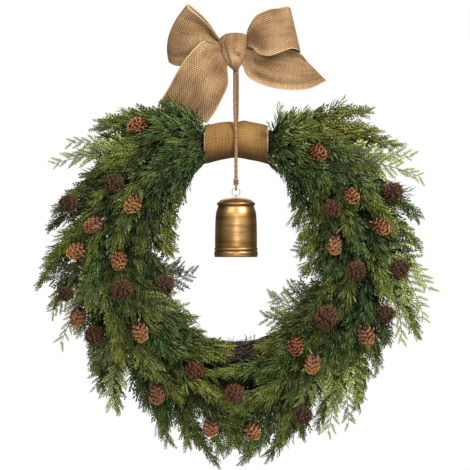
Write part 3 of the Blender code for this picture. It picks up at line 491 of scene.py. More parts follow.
def burlap_paint(name, dark, mid, light, foot=None):
    """Plain-woven jute cloth on a UV map in metres, with slubs, painted shade between the threads, patches
    that are partly uneven tone and partly painted fold shade, and a pale hem that is partly selvedge threads
    and partly painted highlight.
    """
    paint = Paint(name, roughness=0.9, specular_ior_level=0.2)
    where = paint.place(out="UV")
    across, along = paint.axis(where, 0), paint.axis(where, 1)
    pitch = 2.2 * MM  # from thread to thread
    wobble = (paint.cloud(50, 2, where) - 0.5) * 1.8
    warp = (across * (math.pi / pitch) + wobble).sine()
    weft = (along * (math.pi / pitch) + wobble).sine()
    over = (warp * weft).rise(-0.5, 0.5)
    threads = over * abs(warp) + (1 - over) * abs(weft)
    slub_across = paint.cloud(1, 3, paint.place((30, 420, 1), "UV"))
    slub_along = paint.cloud(1, 3, paint.place((420, 30, 1), "UV"))
    slubs = over * slub_along + (1 - over) * slub_across
    # random light and dark patches, partly uneven tone and partly painted shade of soft folds
    patch = paint.cloud(28, 2, where)
    tone_and_fold_shade = paint.cloud(16, 1, where) * 0.9 + patch * 0.3
    colour = paint.mix((slubs * 0.7 + over * 0.35 + tone_and_fold_shade - 0.68).rise(0.22, 0.78), mid, light)
    # painted shade in the gaps between threads
    colour = paint.mix((1 - threads).rise(0.3, 0.9) * 0.8, colour, dark)
    edge = abs(across - RIBBON_WIDTH / 2) / (RIBBON_WIDTH / 2)
    # pale hem, partly paler selvedge threads and partly painted highlight
    colour = paint.mix(edge.rise(0.955, 0.975) * (0.2 + 0.5 * threads), colour, shade(222, 194, 150))
    # foot: painted shade that darkens the cloth towards its lower part
    if foot:
        low, high, underside_shade = foot
        depth = paint.axis(paint.place(), 2)
        colour = paint.mix((1 - depth.rise(low, high)) * 0.85, colour, underside_shade)
    height = threads * 0.7 + slubs * 0.5
    return paint.finish(colour, height=height, distance=0.7 * MM, strength=0.8)


def jute_paint():
    paint = Paint("jute", roughness=0.9)
    fibre = paint.cloud(1, 3, paint.place((900, 900, 260)))
    colour = paint.mix(fibre.rise(0.3, 0.7), shade(84, 56, 32), shade(160, 124, 82))
    return paint.finish(colour, height=fibre, distance=0.3 * MM)


def brass_paint():
    """Antiqued brass with brushed lines round it, and dark patina in its grooves and at its lip."""
    paint = Paint("antique_brass", metallic=1.0)
    lines = paint.cloud(1, 4, paint.place((9, 9, 900)), 0.65)
    bands = paint.cloud(1, 3, paint.place((14, 14, 130)))
    blotch = paint.cloud(55, 4)
    groove = paint.attribute("groove")
    colour = paint.mix(bands.rise(0.3, 0.7), shade(142, 104, 62), shade(190, 154, 100))
    colour = paint.mix(lines.rise(0.35, 0.7) * 0.35, colour, shade(112, 78, 44))
    colour = paint.mix((blotch * 0.6 + bands * 0.4).rise(0.5, 0.72) * 0.4, colour, shade(112, 72, 44))
    colour = paint.mix(groove, colour, shade(44, 26, 12))
    roughness = 0.34 + 0.14 * lines + 0.2 * groove
    return paint.finish(colour, roughness=roughness, height=lines, distance=0.05 * MM, strength=0.5)


def steel_paint():
    paint = Paint("bright_steel", metallic=1.0)
    return paint.finish(shade(128, 126, 120), roughness=0.24 + 0.16 * paint.cloud(600, 2))


# Shapes


def hump(value, middle, width):
    """1 at the middle, and smoothly less away from it."""
    return math.exp(-(((value - middle) / width) ** 2))


def share_of(value):
    """The value, kept between 0 and 1."""
    return min(1.0, max(0.0, value))


def pointed(thick, count):
    """The radii of a tube of so many stations that comes to a point at both ends."""
    return [0.0] + [thick] * (count - 2) + [0.0]


def marked_bmesh(*names):
    """A new bmesh, and its vertices' value layers of these names."""
    bm = bmesh.new()
    return bm, *[bm.verts.layers.float.new(name) for name in names]


def lay_cloth(bm, layer, corner):
    """Gives each face corner the place on the flat cloth, in metres, that corner says of its vertex."""
    for face in bm.faces:
        for loop in face.loops:
            loop[layer].uv = corner(loop.vert)


def piece(name, bm, material, body="wreath", stands_for=()):
    """A finished piece from its bmesh. It rides on its body, and hides the CAD nodes that it stands for."""
    bm.normal_update()
    bmesh.ops.recalc_face_normals(bm, faces=bm.faces)
    mesh = bpy.data.meshes.new(name)
    bm.to_mesh(mesh)
    bm.free()
    mesh.materials.append(material)
    mesh.shade_smooth()
    made = bpy.data.objects.new(name, mesh)
    bpy.context.scene.collection.objects.link(made)
    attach(made, body)
    if stands_for:
        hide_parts(*stands_for)
    return made


def smooth_line(points, per_span, closed=False):
    """A smooth line through the points, which may have any number of values."""

    def between(p, q, r, s, t):
        square = 2 * p - 5 * q + 4 * r - s
        cube = 3 * q - p - 3 * r + s
        return 0.5 * (2 * q + (r - p) * t + square * t * t + cube * t**3)

    count = len(points)
    spans = count if closed else count - 1
    line = []
    for i in range(spans):
        if closed:
            a, b, c, d = (points[(i + k - 1) % count] for k in range(4))
        else:
            a, b, c, d = (points[min(max(i + k - 1, 0), count - 1)] for k in range(4))
        for step in range(per_span):
            t = step / per_span
            line.append(tuple(between(*values, t) for values in zip(a, b, c, d)))
    if not closed:
        line.append(tuple(points[-1]))
    return line


def frames(points, closed=False, side=None):
    """Each point's direction along the line and two across it, turned as little as the line allows."""
    count = len(points)
    ways = []
    for i in range(count):
        before = points[i - 1] if closed or i else points[0]
        after = points[(i + 1) % count] if closed or i < count - 1 else points[-1]
        ways.append((after - before).normalized())
    sides = [side or ways[0].orthogonal().normalized()]
    for i in range(1, count):
        side = ways[i - 1].rotation_difference(ways[i]) @ sides[-1]
        sides.append((side - ways[i] * side.dot(ways[i])).normalized())
    if closed:
        carried = ways[-1].rotation_difference(ways[0]) @ sides[-1]
        slip = math.atan2(carried.cross(sides[0]).dot(ways[0]), carried.dot(sides[0]))
        sides = [Matrix.Rotation(slip * i / count, 3, ways[i]) @ side for i, side in enumerate(sides)]
    return [(way, side, way.cross(side)) for way, side in zip(ways, sides)]


def rolled_tube(bm, points, radii, sides=8, closed=False, flat=1.0, marks=None, side=None):
    """Adds a tube: a grid rolled round the line through the points, with a pole where its radius is 0.

    marks is (layer, values), with one value a station. side is the way across it that flat leaves."""
    steps = len(points) if closed else len(points) - 1
    around = frames(points, closed, side)
    uses_uv = bool(bm.loops.layers.uv)
    made = bmesh.ops.create_grid(bm, x_segments=sides, y_segments=steps, size=0.5, calc_uvs=uses_uv)["verts"]
    for v in made:
        turn = 2 * math.pi * (v.co.x + 0.5)
        station = round((v.co.y + 0.5) * steps) % len(points)
        _, across, up = around[station]
        reach = radii[station]
        v.co = points[station] + across * (reach * math.cos(turn)) + up * (reach * flat * math.sin(turn))
        if marks:
            v[marks[0]] = marks[1][station]
    bmesh.ops.remove_doubles(bm, verts=made, dist=1e-7)


def lay(bm, template, place, **values):
    """Copies a template mesh into the bmesh, in its place, and gives its vertices the named values."""
    copy = template.copy()
    copy.transform(place)
    for name, value in values.items():
        level = share_of(value)
        copy.attributes[name].data.foreach_set("value", [level] * len(copy.vertices))
    bm.from_mesh(copy)
    bpy.data.meshes.remove(copy)


def keep_mesh(name, bm):
    """A template mesh from its bmesh."""
    mesh = bpy.data.meshes.new(name)
    bm.to_mesh(mesh)
    bm.free()
    return mesh


def clock(angle, radius, y):
    """A point by its angle from the ring's top, positive to the right, its distance from the centre and y."""
    a = math.radians(angle)
    return Vector((radius * math.sin(a), y, RING_Z + radius * math.cos(a)))


def aimed(point, way, front, scale=1.0):
    """The place of a template that grows along +Z and faces -Y: along way, facing front if it can."""
    way = way.normalized()
    side = way.cross(front).normalized() * -1
    back = way.cross(side)
    turn = Matrix((side * scale, back * scale, way * scale)).transposed().to_4x4()
    return Matrix.Translation(point) @ turn


# Vine ring and strap


def ring_point(around, out, lift):
    """A point by its angle round the ring and its place in the section: away from the centre, and back."""
    reach = RING_RADIUS + out
    return Vector((reach * math.sin(around), lift, RING_Z + reach * math.cos(around)))


def wound_vines(bm, rng):
    """Thick vines deep in the ring and thin ones over them, each wound round the ring's own centre line."""
    stations = 120
    outer, inner = 24, 6
    for index in range(outer + inner):
        deep = index >= outer
        level = (12 if deep else 19.6) * MM + rng.uniform(-2.4, 0.8) * MM
        thick = 6.5 * MM if deep else rng.uniform(2.0, 3.4) * MM
        start = 2 * math.pi * index / (inner if deep else outer) + rng.uniform(-0.15, 0.15)
        turns = -2 if deep else 3
        points = []
        radii = []
        for k in range(stations):
            a = 2 * math.pi * k / stations
            turn = start + turns * a + 0.3 * math.sin(3 * a + index)
            reach = level + 1.6 * MM * noise.noise(Vector((3 * math.cos(a), 3 * math.sin(a), index * 7.3)))
            points.append(ring_point(a, reach * math.cos(turn), reach * math.sin(turn)))
            knobble = noise.noise(Vector((14 * math.cos(a), 14 * math.sin(a), index * 3.1)))
            radii.append(thick * (1 + 0.2 * knobble))
        rolled_tube(bm, points, radii, 5, closed=True)


def tendrils(bm, rng):
    """Thin runners on the vines: long ones all round, and short ones where the ring is bare at the bottom."""
    long_ones, all_of_them = 24, 60
    for tendril in range(all_of_them):
        at_bottom = tendril >= long_ones
        start_angle = math.pi + rng.uniform(-0.5, 0.2) if at_bottom else rng.uniform(0, 2 * math.pi)
        long = rng.uniform(0.15, 0.4) if at_bottom else rng.uniform(0.5, 1.3)
        first_turn = rng.uniform(0, 2 * math.pi)
        winding = rng.uniform(-3.2, 3.2) if at_bottom else 3.6 * long
        thick = rng.uniform(0.5, 0.9) * MM if at_bottom else 1.1 * MM
        points = []
        count = 14 if at_bottom else 26
        for k in range(count):
            t = k / (count - 1)
            turn = first_turn + winding * t
            reach = (22.4 + 1.6 * math.sin(9 * t + tendril)) * MM
            points.append(ring_point(start_angle + long * t, reach * math.cos(turn), reach * math.sin(turn)))
        rolled_tube(bm, points, pointed(thick, count), 4)


def curls(bm, rng):
    """Loose curls that stand off the bare vines."""
    number, joints = 26, 7
    foot_reach = 21 * MM
    for _ in range(number):
        around = math.pi + rng.uniform(-0.22, 0.12)
        turn = math.pi + rng.uniform(-0.7, 0.7)
        points = [ring_point(around, foot_reach * math.cos(turn), foot_reach * math.sin(turn))]
        sideways = rng.choice((-1, 1)) * rng.uniform(0.4, 1)
        way = Vector((sideways, rng.uniform(-0.6, 0.6), rng.uniform(0.1, 0.7))).normalized()
        bend = rng.uniform(-0.5, 0.5)
        for _ in range(joints):
            way = Matrix.Rotation(bend, 3, "Y") @ way
            points.append(points[-1] + way * rng.uniform(1.4, 2.4) * MM)
        rolled_tube(bm, points, [0.4 * MM] * joints + [0.0], 4)


def vine_ring(material):
    """Dark vines wound round each other into a ring, with loose ends and curls."""
    rng = random.Random(5)
    bm = bmesh.new()
    wound_vines(bm, rng)
    tendrils(bm, rng)
    curls(bm, rng)
    cut_end = [Vector((x * MM, -16 * MM, z * MM)) for x, z in ((13, -441), (16, -432), (11.5, -425))]
    rolled_tube(bm, cut_end, [1.2 * MM, 0.9 * MM, 0.0], 5)
    piece("vine_strands", bm, material, stands_for=["vine_ring"])


def strap(material):
    """A burlap sleeve round the ring, fuller on both sides of the twine that crosses it."""
    bm = bmesh.new()
    layer = bm.loops.layers.uv.new("UVMap")
    made = bmesh.ops.create_grid(bm, x_segments=44, y_segments=72, size=0.5)["verts"]
    places = {}
    for v in made:
        share, turn = v.co.x + 0.5, 2 * math.pi * (v.co.y + 0.5)
        places[v] = (share, turn)
        x = (share - 0.5) * 2 * STRAP_HALF_WIDTH
        facing = turn - math.pi / 2
        front, top = math.cos(facing), math.sin(facing)
        free = 1 - hump(x, 0, 13 * MM)  # of the twine that holds the middle down
        ends = abs(2 * share - 1) ** 6
        wave = noise.noise(Vector((x / (24 * MM), 3 * math.cos(turn), 3 * math.sin(turn))))
        puff = (1.6 * (1 - 0.5 * ends) + 0.9 * wave) * free * MM
        crown = max(0.0, top) ** 3 * (2.2 * hump(x, 11 * MM, 8 * MM) + hump(x, -8 * MM, 5 * MM)) * MM
        reach = STRAP_RADIUS + 0.1 * MM + max(0.0, puff + crown)
        centre_reach = RING_RADIUS + reach * top
        lean = math.asin(x / centre_reach)
        v.co = Vector((x, -reach * front, RING_Z + centre_reach * math.cos(lean)))
    girth = 2 * math.pi * STRAP_RADIUS
    lay_cloth(bm, layer, lambda v: (places[v][0] * RIBBON_WIDTH, places[v][1] / (2 * math.pi) * girth))
    bmesh.ops.remove_doubles(bm, verts=bm.verts, dist=1e-6)
    made = piece("strap_cloth", bm, material, stands_for=["strap"])
    thicken(made, STRAP_THICK)


def thicken(thing, thickness):
    """Gives a sheet its thickness, half of it on each side."""
    solidify = thing.modifiers.new("Solidify", "SOLIDIFY")
    solidify.thickness = thickness
    solidify.offset = 0.0


# Bow


def ribbon(name, sections, closed, across, per_span, folds, material, node, flat_length):
    """A grid bent smoothly through the ribbon's sections, with gathers that run out of the knot.

    folds is (depth, count, phase, valley, tilt): of the gathers, then how deep two hollows run out along it,
    and how far it tilts from edge to edge, all in mm but count and phase."""
    line = smooth_line(sections, per_span, closed)
    rows = len(line) if closed else len(line) - 1
    depth, count, phase, valley, tilt = folds
    bm = bmesh.new()
    layer = bm.loops.layers.uv.new("UVMap")
    bmesh.ops.create_grid(bm, x_segments=across, y_segments=rows, size=0.5)
    places = {}
    for v in bm.verts:
        share, station = v.co.x + 0.5, round((v.co.y + 0.5) * rows)
        places[v] = (share, station)
        left_x, left_z, right_x, right_z, y, bow = line[station % len(line)]
        middle = bow * 4 * share * (1 - share)
        left, right = Vector((left_x, y, left_z)), Vector((right_x, y, right_z))
        point = left.lerp(right, share) + Vector((middle, 0, 0))
        out = abs(point.x)
        gather = hump(out, 33, 12) + 0.22 * hump(out, 58, 18)
        side = 1 if point.x > 0 else -1
        wave = math.sin(2 * math.pi * (count * share + phase) + side * 0.8 + out * 0.012)
        ripple = noise.noise(Vector((point.x / 34, point.z / 34, y / 22)))
        edge = min(1.0, 10 * min(share, 1 - share) + 0.4)
        away = share_of((out - 26) / 20)  # from the knot
        hollow = hump(share, 0.16, 0.1) + 0.7 * hump(share, 0.86, 0.09)
        point.y += gather * depth * wave * edge + (4.0 * ripple + valley * hollow) * away
        point.y += tilt * (share - 0.5) * away * (1 if side < 0 else -0.4)
        v.co = point * MM
    lay_cloth(bm, layer, lambda v: (places[v][0] * RIBBON_WIDTH, places[v][1] / rows * flat_length))
    bmesh.ops.remove_doubles(bm, verts=bm.verts, dist=1e-6)
    made = piece(name, bm, material, stands_for=[node])
    thicken(made, RIBBON_THICK)
    return made


def bow_knot(material):
    """The gathered knot: flat behind, broad above, and pulled to a point below by its folds."""
    bm = bmesh.new()
    layer = bm.loops.layers.uv.new("UVMap")
    bmesh.ops.create_uvsphere(bm, u_segments=72, v_segments=44, radius=1)
    line = smooth_line(KNOT_SECTIONS, 8)
    back_y = -7.6
    for v in bm.verts:
        station = (math.acos(max(-1.0, min(1.0, v.co.z))) / math.pi) * (len(line) - 1)
        z, left, right, forward = line[round(station)]
        ring = math.hypot(v.co.x, v.co.y)
        share = 0.5 + 0.5 * v.co.x / ring if ring > 1e-4 else 0.5
        front = max(0.0, -v.co.y / ring) ** 0.7 if ring > 1e-4 else 0.0
        x = left + (right - left) * share
        gathered = 0.5 + (26 - z) / 30
        pleat = math.sin(2 * math.pi * 3.6 * share + 0.9 * math.sin(z / 9)) * gathered
        pleat += 0.5 * math.sin(2 * math.pi * 7 * share + z / 7) * gathered
        hollow = 9 * hump(x, 2, 3.6) * hump(z, -9, 5)
        tuck = 3 * hump(x, 0.5 * z - 4, 3) * share_of((14 - z) / 20)
        depth = forward + pleat + 1.2 * noise.noise(Vector((x, z, 0)) * 0.09) - hollow - tuck
        v.co = Vector((x, back_y - front * max(1.0, depth), z)) * MM
    lay_cloth(bm, layer, lambda v: (v.co.x * 1.2 + 0.05, v.co.z))
    piece("bow_knot_cloth", bm, material, stands_for=["bow_knot"])


# Twine, split ring and bell


def twine_points():
    """The closed hanging loop: from the eye's top down in front, round ring and strap, and up the back."""
    right = []
    for step in range(6):
        a = math.radians(90 - 30 * step)
        right.append((EYE_RADIUS * math.cos(a), 0, EYE_RADIUS * math.sin(a)))
    right.append((PAIR_OFFSET, 0, -12 * MM))
    right.append((PAIR_OFFSET, 0, KNOT_FOOT_Z))
    left = [(-x, y, z) for x, y, z in reversed(right[1:])]
    front = []
    steps = 5  # from the bow's back to the ring's top
    for step in range(1, steps):
        share = step / steps
        z = KNOT_FOOT_Z + (WRAP_TOP_Z + 14 * MM - KNOT_FOOT_Z) * share
        front.append((-PAIR_OFFSET * (1 - share**5), STRAND_Y * share, z))
    back = [(-x, -y, z) for x, y, z in reversed(front)]
    around = []
    wraps = 18
    for step in range(wraps + 1):
        a = math.radians(20 - 220 * step / wraps)
        around.append((0, STRAND_Y * math.cos(a), WRAP_TOP_Z - STRAND_Y * math.sin(a)))
    return [*reversed(left), *front, *around, *back, *reversed(right[1:])]


def add_twine(bm, points, radius, pitch, closed=False, plies=2):
    """Adds plies that wind round the line through the points, one turn a pitch."""
    line = [Vector(p) for p in points]
    around = frames(line, closed)
    far = [0.0]
    for a, b in zip(line, line[1:]):
        far.append(far[-1] + (b - a).length)
    whole = far[-1] + ((line[0] - line[-1]).length if closed else 0)
    turns = max(1, round(whole / pitch))
    for ply in range(plies):
        strand = []
        for point, (_, side, up), reach in zip(line, around, far):
            turn = 2 * math.pi * (turns * reach / whole + ply / plies)
            strand.append(point + (side * math.cos(turn) + up * math.sin(turn)) * radius * 0.46)
        rolled_tube(bm, strand, [radius * 0.56] * len(strand), 7, closed=closed)


def even_line(points, step, closed=False):
    """Points at an even distance on the smooth line through the points."""
    fine = [Vector(p) for p in smooth_line(points, 24, closed)]
    if closed:
        fine.append(fine[0])
    line = [fine[0]]
    left = step
    for a, b in zip(fine, fine[1:]):
        long = (b - a).length
        while long > left:
            a = a.lerp(b, left / long)
            line.append(a)
            long -= left
            left = step
        left -= long
    if closed and (line[-1] - line[0]).length < step * 0.6:
        line.pop()
    return line


def jute_twine(material):
    """The hanging loop, the strand that leaves its front for the bell, and the knot and eye at its end."""
    bm = bmesh.new()
    step = 1.0 * MM
    add_twine(bm, even_line(twine_points(), step, True), TWINE_RADIUS, 9 * MM, True, 3)
    strand_z = (WRAP_TOP_Z + 6 * MM, -170 * MM, BELL_KNOT_Z)
    add_twine(bm, even_line([(0, STRAND_Y, z) for z in strand_z], step), TWINE_RADIUS, 10 * MM, False, 3)
    knot = []
    count, wraps = 40, 3.0
    for k in range(count):
        t = k / (count - 1)
        turn = 2 * math.pi * wraps * t
        reach = (2.0 + 1.4 * math.sin(math.pi * t)) * MM
        z = BELL_KNOT_TOP_Z - BELL_KNOT_HEIGHT * t
        knot.append((reach * math.cos(turn), STRAND_Y + reach * math.sin(turn), z))
    add_twine(bm, knot, 1.5 * MM, 6 * MM)
    eye_foot = SPLIT_RING_Z + SPLIT_RING_RADIUS - SPLIT_RING_WIRE - SEAT
    eye = []
    count = 28
    for k in range(count):
        a = 2 * math.pi * k / count
        y = STRAND_Y + BELL_EYE_RADIUS * math.sin(a)
        eye.append((0, y, eye_foot + BELL_EYE_RADIUS * (1 - math.cos(a))))
    add_twine(bm, eye, 1.6 * MM, 4 * MM, True)
    piece("jute_strands", bm, material, stands_for=["jute_twine"])


def split_ring(material):
    """Two close turns of wire with their ends lapped."""
    bm = bmesh.new()
    points = []
    count = 96
    for k in range(count + 1):
        t = k / count
        a = 4.1 * math.pi * t + 1.2
        y = STRAND_Y + (t - 0.5) * SPLIT_RING_WIRE
        z = SPLIT_RING_Z + SPLIT_RING_RADIUS * math.cos(a)
        points.append(Vector((SPLIT_RING_RADIUS * math.sin(a), y, z)))
    rolled_tube(bm, points, pointed(SPLIT_RING_WIRE / 2, count + 1), 8)
    piece("split_ring_wire", bm, material, "ring", ["split_ring"])


def bell(material):
    """A turned shell, open below, with a rim bead and two lip beads."""
    bm, groove = marked_bmesh("groove")
    outside = smooth_line(BELL_OUTSIDE, 3)
    verts = []
    for radius, down in outside + list(BELL_INSIDE):
        made = bm.verts.new((radius * MM, STRAND_Y, BELL_CROWN_Z - down * MM))
        made[groove] = max(dark * hump(down, level, BELL_GROOVE_WIDTH) for level, dark in BELL_GROOVES)
        verts.append(made)
    for v in verts[len(outside):]:
        v[groove] = 1.0
    edges = [bm.edges.new(pair) for pair in zip(verts, verts[1:])]
    bmesh.ops.spin(
        bm,
        geom=verts + edges,
        cent=(0, STRAND_Y, 0),
        axis=(0, 0, 1),
        angle=2 * math.pi,
        steps=96,
        use_merge=True,
    )
    bmesh.ops.remove_doubles(bm, verts=bm.verts, dist=1e-6)
    piece("bell_shell", bm, material, "bell", ["bell"])


def bell_staple(material):
    """A closed wire: an arch over the crown for the split ring, and a shallow foot inside for the clapper."""
    bm = bmesh.new()
    points = []
    steps = 12
    arch = (STAPLE_TOP_Z - STAPLE_RADIUS, STAPLE_RADIUS, 0)
    under = (STAPLE_FOOT_Z + STAPLE_FOOT_ARC, STAPLE_FOOT_ARC, math.pi)
    for base, rise, first in (arch, under):
        for step in range(steps + 1):
            a = first + math.pi * step / steps
            points.append(Vector((0, STRAND_Y + STAPLE_RADIUS * math.cos(a), base + rise * math.sin(a))))
    rolled_tube(bm, points, [STAPLE_WIRE] * len(points), 8, closed=True)
    piece("staple_wire", bm, material, "bell", ["bell_staple"])


def clapper(material):
    """A ball on a rod, which hangs by its eye on the staple's foot."""
    bm = bmesh.new()
    eye_centre = Vector((0, STRAND_Y, CLAPPER_EYE_Z))
    eye = []
    count = 24
    for k in range(count):
        a = 2 * math.pi * k / count
        eye.append(eye_centre + Vector((math.sin(a), 0, math.cos(a))) * CLAPPER_EYE_RADIUS)
    rolled_tube(bm, eye, [CLAPPER_WIRE] * count, 8, closed=True)
    top = eye_centre - Vector((0, 0, 2.6 * MM))
    ball = Vector((0, STRAND_Y, CLAPPER_BALL_Z))
    steps = 8
    rod = [top.lerp(ball, k / steps) for k in range(steps + 1)]
    rolled_tube(bm, rod, [0.0] + [CLAPPER_ROD] * steps, 10)
    made = bmesh.ops.create_uvsphere(bm, u_segments=32, v_segments=20, radius=CLAPPER_BALL_RADIUS)["verts"]
    bmesh.ops.translate(bm, verts=made, vec=ball)
    piece("clapper_ball", bm, material, "tongue", ["clapper"])


# Cedar


def strand(bm, layer, base, angle, length, width, curl, lift, levels, steps=3):
    """Adds a bent, flattened needle in the plane y = 0, pointed at both ends. lift takes its tip off it."""
    points = [base]
    for k in range(steps):
        turn = angle - curl * 3 * k / steps
        points.append(points[-1] + Vector((math.sin(turn), 0, math.cos(turn))) * (length / steps))
    for k, point in enumerate(points[1:], 1):
        point.y -= lift * (k / steps) ** 1.6
    root, tip = levels
    marks = [root + (tip - root) * k / steps for k in range(steps + 1)]
    flank = Vector((math.cos(angle), 0, -math.sin(angle)))
    three_sided = width / 1.7  # the radius of a triangle of this width
    rolled_tube(bm, points, pointed(three_sided, steps + 1), 3, flat=0.7, marks=(layer, marks), side=flank)


def cedar_sprig(name, seed):
    """A sprig along +Z that faces -Y: a main needle with others combed forwards on both sides of it."""
    rng = random.Random(seed)
    bm, tip, _, _ = marked_bmesh("tip", "tone", "dim")
    lean = rng.uniform(-0.05, 0.05)
    bend = rng.uniform(-0.06, 0.06)
    strand(bm, tip, Vector(), lean, SPRIG_LENGTH, 1.6 * MM, bend, rng.uniform(1, 4) * MM, (0.2, 0.9))
    needles = 12
    for k in range(needles):
        t = 0.7 * k / (needles - 1)
        side = 1 if k % 2 else -1
        base = Vector((math.sin(lean), 0, math.cos(lean))) * (SPRIG_LENGTH * (0.02 + t))
        angle = side * rng.uniform(0.34, 0.62)
        long = (20 - 10 * t) * rng.uniform(0.8, 1.2) * MM
        levels = rng.choice(((0.0, 0.35), (0.1, 0.55), (0.2, 0.75), (0.3, 1.0), (0.45, 1.0)))
        width = rng.uniform(1.35, 1.8) * MM
        curl = side * rng.uniform(0.0, 0.16)
        strand(bm, tip, base, angle, long, width, curl, rng.uniform(-3, 5) * MM, levels, 2)
    return keep_mesh(name, bm)


def cedar_frond(name, seed):
    """A flat frond along +Z that faces -Y: a needle with short broad teeth on both sides."""
    rng = random.Random(50 + seed)
    bm, tip, _, _ = marked_bmesh("tip", "tone", "dim")
    lean = rng.uniform(-0.08, 0.08)
    long = SPRIG_LENGTH * 0.74
    strand(bm, tip, Vector(), lean, long, 2.4 * MM, -lean, 2 * MM, (0.3, 0.9))
    teeth = 11
    for k in range(teeth):
        t = 0.08 + 0.84 * k / (teeth - 1)
        side = 1 if k % 2 else -1
        base = Vector((math.sin(lean) * long * t, -2 * MM * t * t, math.cos(lean) * long * t))
        angle = side * rng.uniform(0.5, 0.75)
        reach = (12.0 - 6 * t) * rng.uniform(0.85, 1.15) * MM
        levels = (0.25, rng.uniform(0.6, 1.0))
        strand(bm, tip, base, angle, reach, 3.1 * MM, side * 0.16, rng.uniform(-1, 1.5) * MM, levels, 2)
    return keep_mesh(name, bm)


def plume_axis(root_angle, tip, segments, root_radius=FORK_RADIUS, root_y=FORK_Y):
    """Points from a plume's root to its tip: along the ring first, then out or in, and forwards."""
    tip_angle, tip_radius, tip_y = tip
    tip_radius, tip_y = tip_radius * MM, tip_y * MM
    points = []
    for k in range(segments + 1):
        t = k / segments
        angle = root_angle + (tip_angle - root_angle) * t
        radius = root_radius + (tip_radius - root_radius) * t**1.15
        y = root_y + (tip_y - root_y) * t - PLUME_BULGE * math.sin(math.pi * t)
        points.append(clock(angle, radius, y))
    return points


def along_line(points, share):
    """A point and the direction at a share of the line's points."""
    far = share * (len(points) - 1)
    i = min(int(far), len(points) - 2)
    return points[i].lerp(points[i + 1], far - i), (points[i + 1] - points[i]).normalized()


def hides_pick(point):
    """Whether a point lies in a cone or pod, or in front of it."""
    pick_back = 4 * MM
    for x, y, z, radius in PICKS:
        if point.y < y + pick_back and math.hypot(point.x - x, point.z - z) < radius:
            return True
    return False


def line_length(points):
    return sum((b - a).length for a, b in zip(points, points[1:]))


def add_plume(bm, tip_layer, points, sprigs, tone, dim, shadow, girth, rng):
    """A stem with sprigs on both sides and over its front, longest in its middle, with painted shade that
    darkens it at its root.
    """
    count = len(points)
    radii = [0.0] + [1.7 * MM * (1 - 0.6 * k / (count - 1)) for k in range(1, count - 1)] + [0.0]
    rolled_tube(bm, points, radii, 5, marks=(tip_layer, [0.05] * count))
    needles, fronds = sprigs
    backing = dim >= BACKING_SHADE
    number = round(line_length(points) / SPRIG_STEP * (0.85 if backing else 1))
    for k in range(number):
        t = 0.02 + 0.96 * (k + rng.uniform(-0.3, 0.3)) / number
        point, way = along_line(points, min(0.98, max(0.01, t)))
        across = way.cross(Vector((0, 1, 0))).normalized()
        front = way.cross(across).normalized()
        if front.y > 0:
            front.negate()
        turn = math.radians(SPRIG_TURNS[k % len(SPRIG_TURNS)] + rng.uniform(-16, 16))
        out = across * math.cos(turn) - front * math.sin(turn)
        spread = math.radians(30 - 10 * t) * rng.uniform(0.7, 1.25)
        aim = way * math.cos(spread) + out * math.sin(spread)
        size = girth * (0.78 + 0.26 * math.sin(math.pi * min(1, t * 1.1))) * rng.uniform(0.85, 1.12)
        if t > 0.6:
            size *= 1 - 0.7 * (t - 0.6)
        reach = aim * SPRIG_LENGTH * size
        if hides_pick(point + reach * 0.35) or hides_pick(point + reach * 0.95):
            continue
        facing = (front + across * rng.uniform(-0.6, 0.6) + out * 0.3).normalized()
        kind = fronds if backing or rng.random() < 0.25 + 1.2 * t * t else needles
        hue = tone + 0.5 * (t - 0.55) + rng.uniform(-0.12, 0.12)
        # painted shade, most at the plume's root, with some random darkening from sprig to sprig
        dark = dim + shadow * (1 - t) ** 2 - 0.06 + rng.uniform(-0.25, 0.25)
        lay(bm, rng.choice(kind), aimed(point, aim, facing, size), tone=hue, dim=dark)


def plumes_of(name):
    """The plumes of one bunch, as (root angle, tip, tone, painted shade): those whose roots lie nearest to
    it.
    """
    side = 1 if BUNCHES[name] > 0 else -1
    # the last value of each layer is its painted shade: the backing darkest, then the lining, inner and outer
    # plumes
    layers = [
        (OUTER_RIGHT if side > 0 else OUTER_LEFT, OUTER_LAG, 0.1),
        (MIDDLE, MIDDLE_LAG, 0.0),
        (FRONT, FRONT_LAG, 0.0),
        (INNER, INNER_LAG, 0.1),
        (LINING, INNER_LAG, 0.2),
        (BACKING, OUTER_LAG, BACKING_SHADE),
        (DROOPING, DROOPING_LAG, 0.0),
        (CROSSING, CROSSING_LAG, 0.0) if side > 0 else (LEFT_FOOT, LEFT_FOOT_LAG, 0.0),
    ]
    found = []
    for table, lag, dim in layers:
        for angle, radius, y, tone in table:
            root = max(FIRST_ROOT, angle - lag)
            nearest = min(BUNCHES, key=lambda other: abs(BUNCHES[other] - side * root))
            if nearest == name:
                found.append((side * root, (side * angle, radius, y), tone, dim))
    return found


def add_collar(bm, side, sprigs, rng):
    """Sprigs all round the ring at the strap's edge, which point away from it."""
    number = 34
    needles, _ = sprigs
    foot_angle = math.degrees(math.asin(STRAP_HALF_WIDTH / RING_RADIUS)) - 0.6
    reach = 21 * MM
    for k in range(number):
        turn = 2 * math.pi * (k + rng.uniform(-0.3, 0.3)) / number
        out, back = math.cos(turn), math.sin(turn)
        foot = clock(side * foot_angle, RING_RADIUS + reach * out, -reach * back)
        wide = reach + (9 * MM if back > -0.3 else 2 * MM)
        ahead = clock(side * (foot_angle + 8), RING_RADIUS + wide * out, -wide * back)
        outward = Vector((side * 0.3 * out, -back, out)).normalized()
        size = rng.uniform(0.7, 1.0) * (1 if foot.y < 8 * MM else 0.6)
        place = aimed(foot, ahead - foot, outward, size)
        # random painted shade on the collar's sprigs
        lay(bm, rng.choice(needles), place, tone=rng.uniform(0.1, 0.6), dim=rng.uniform(0.0, 0.5))


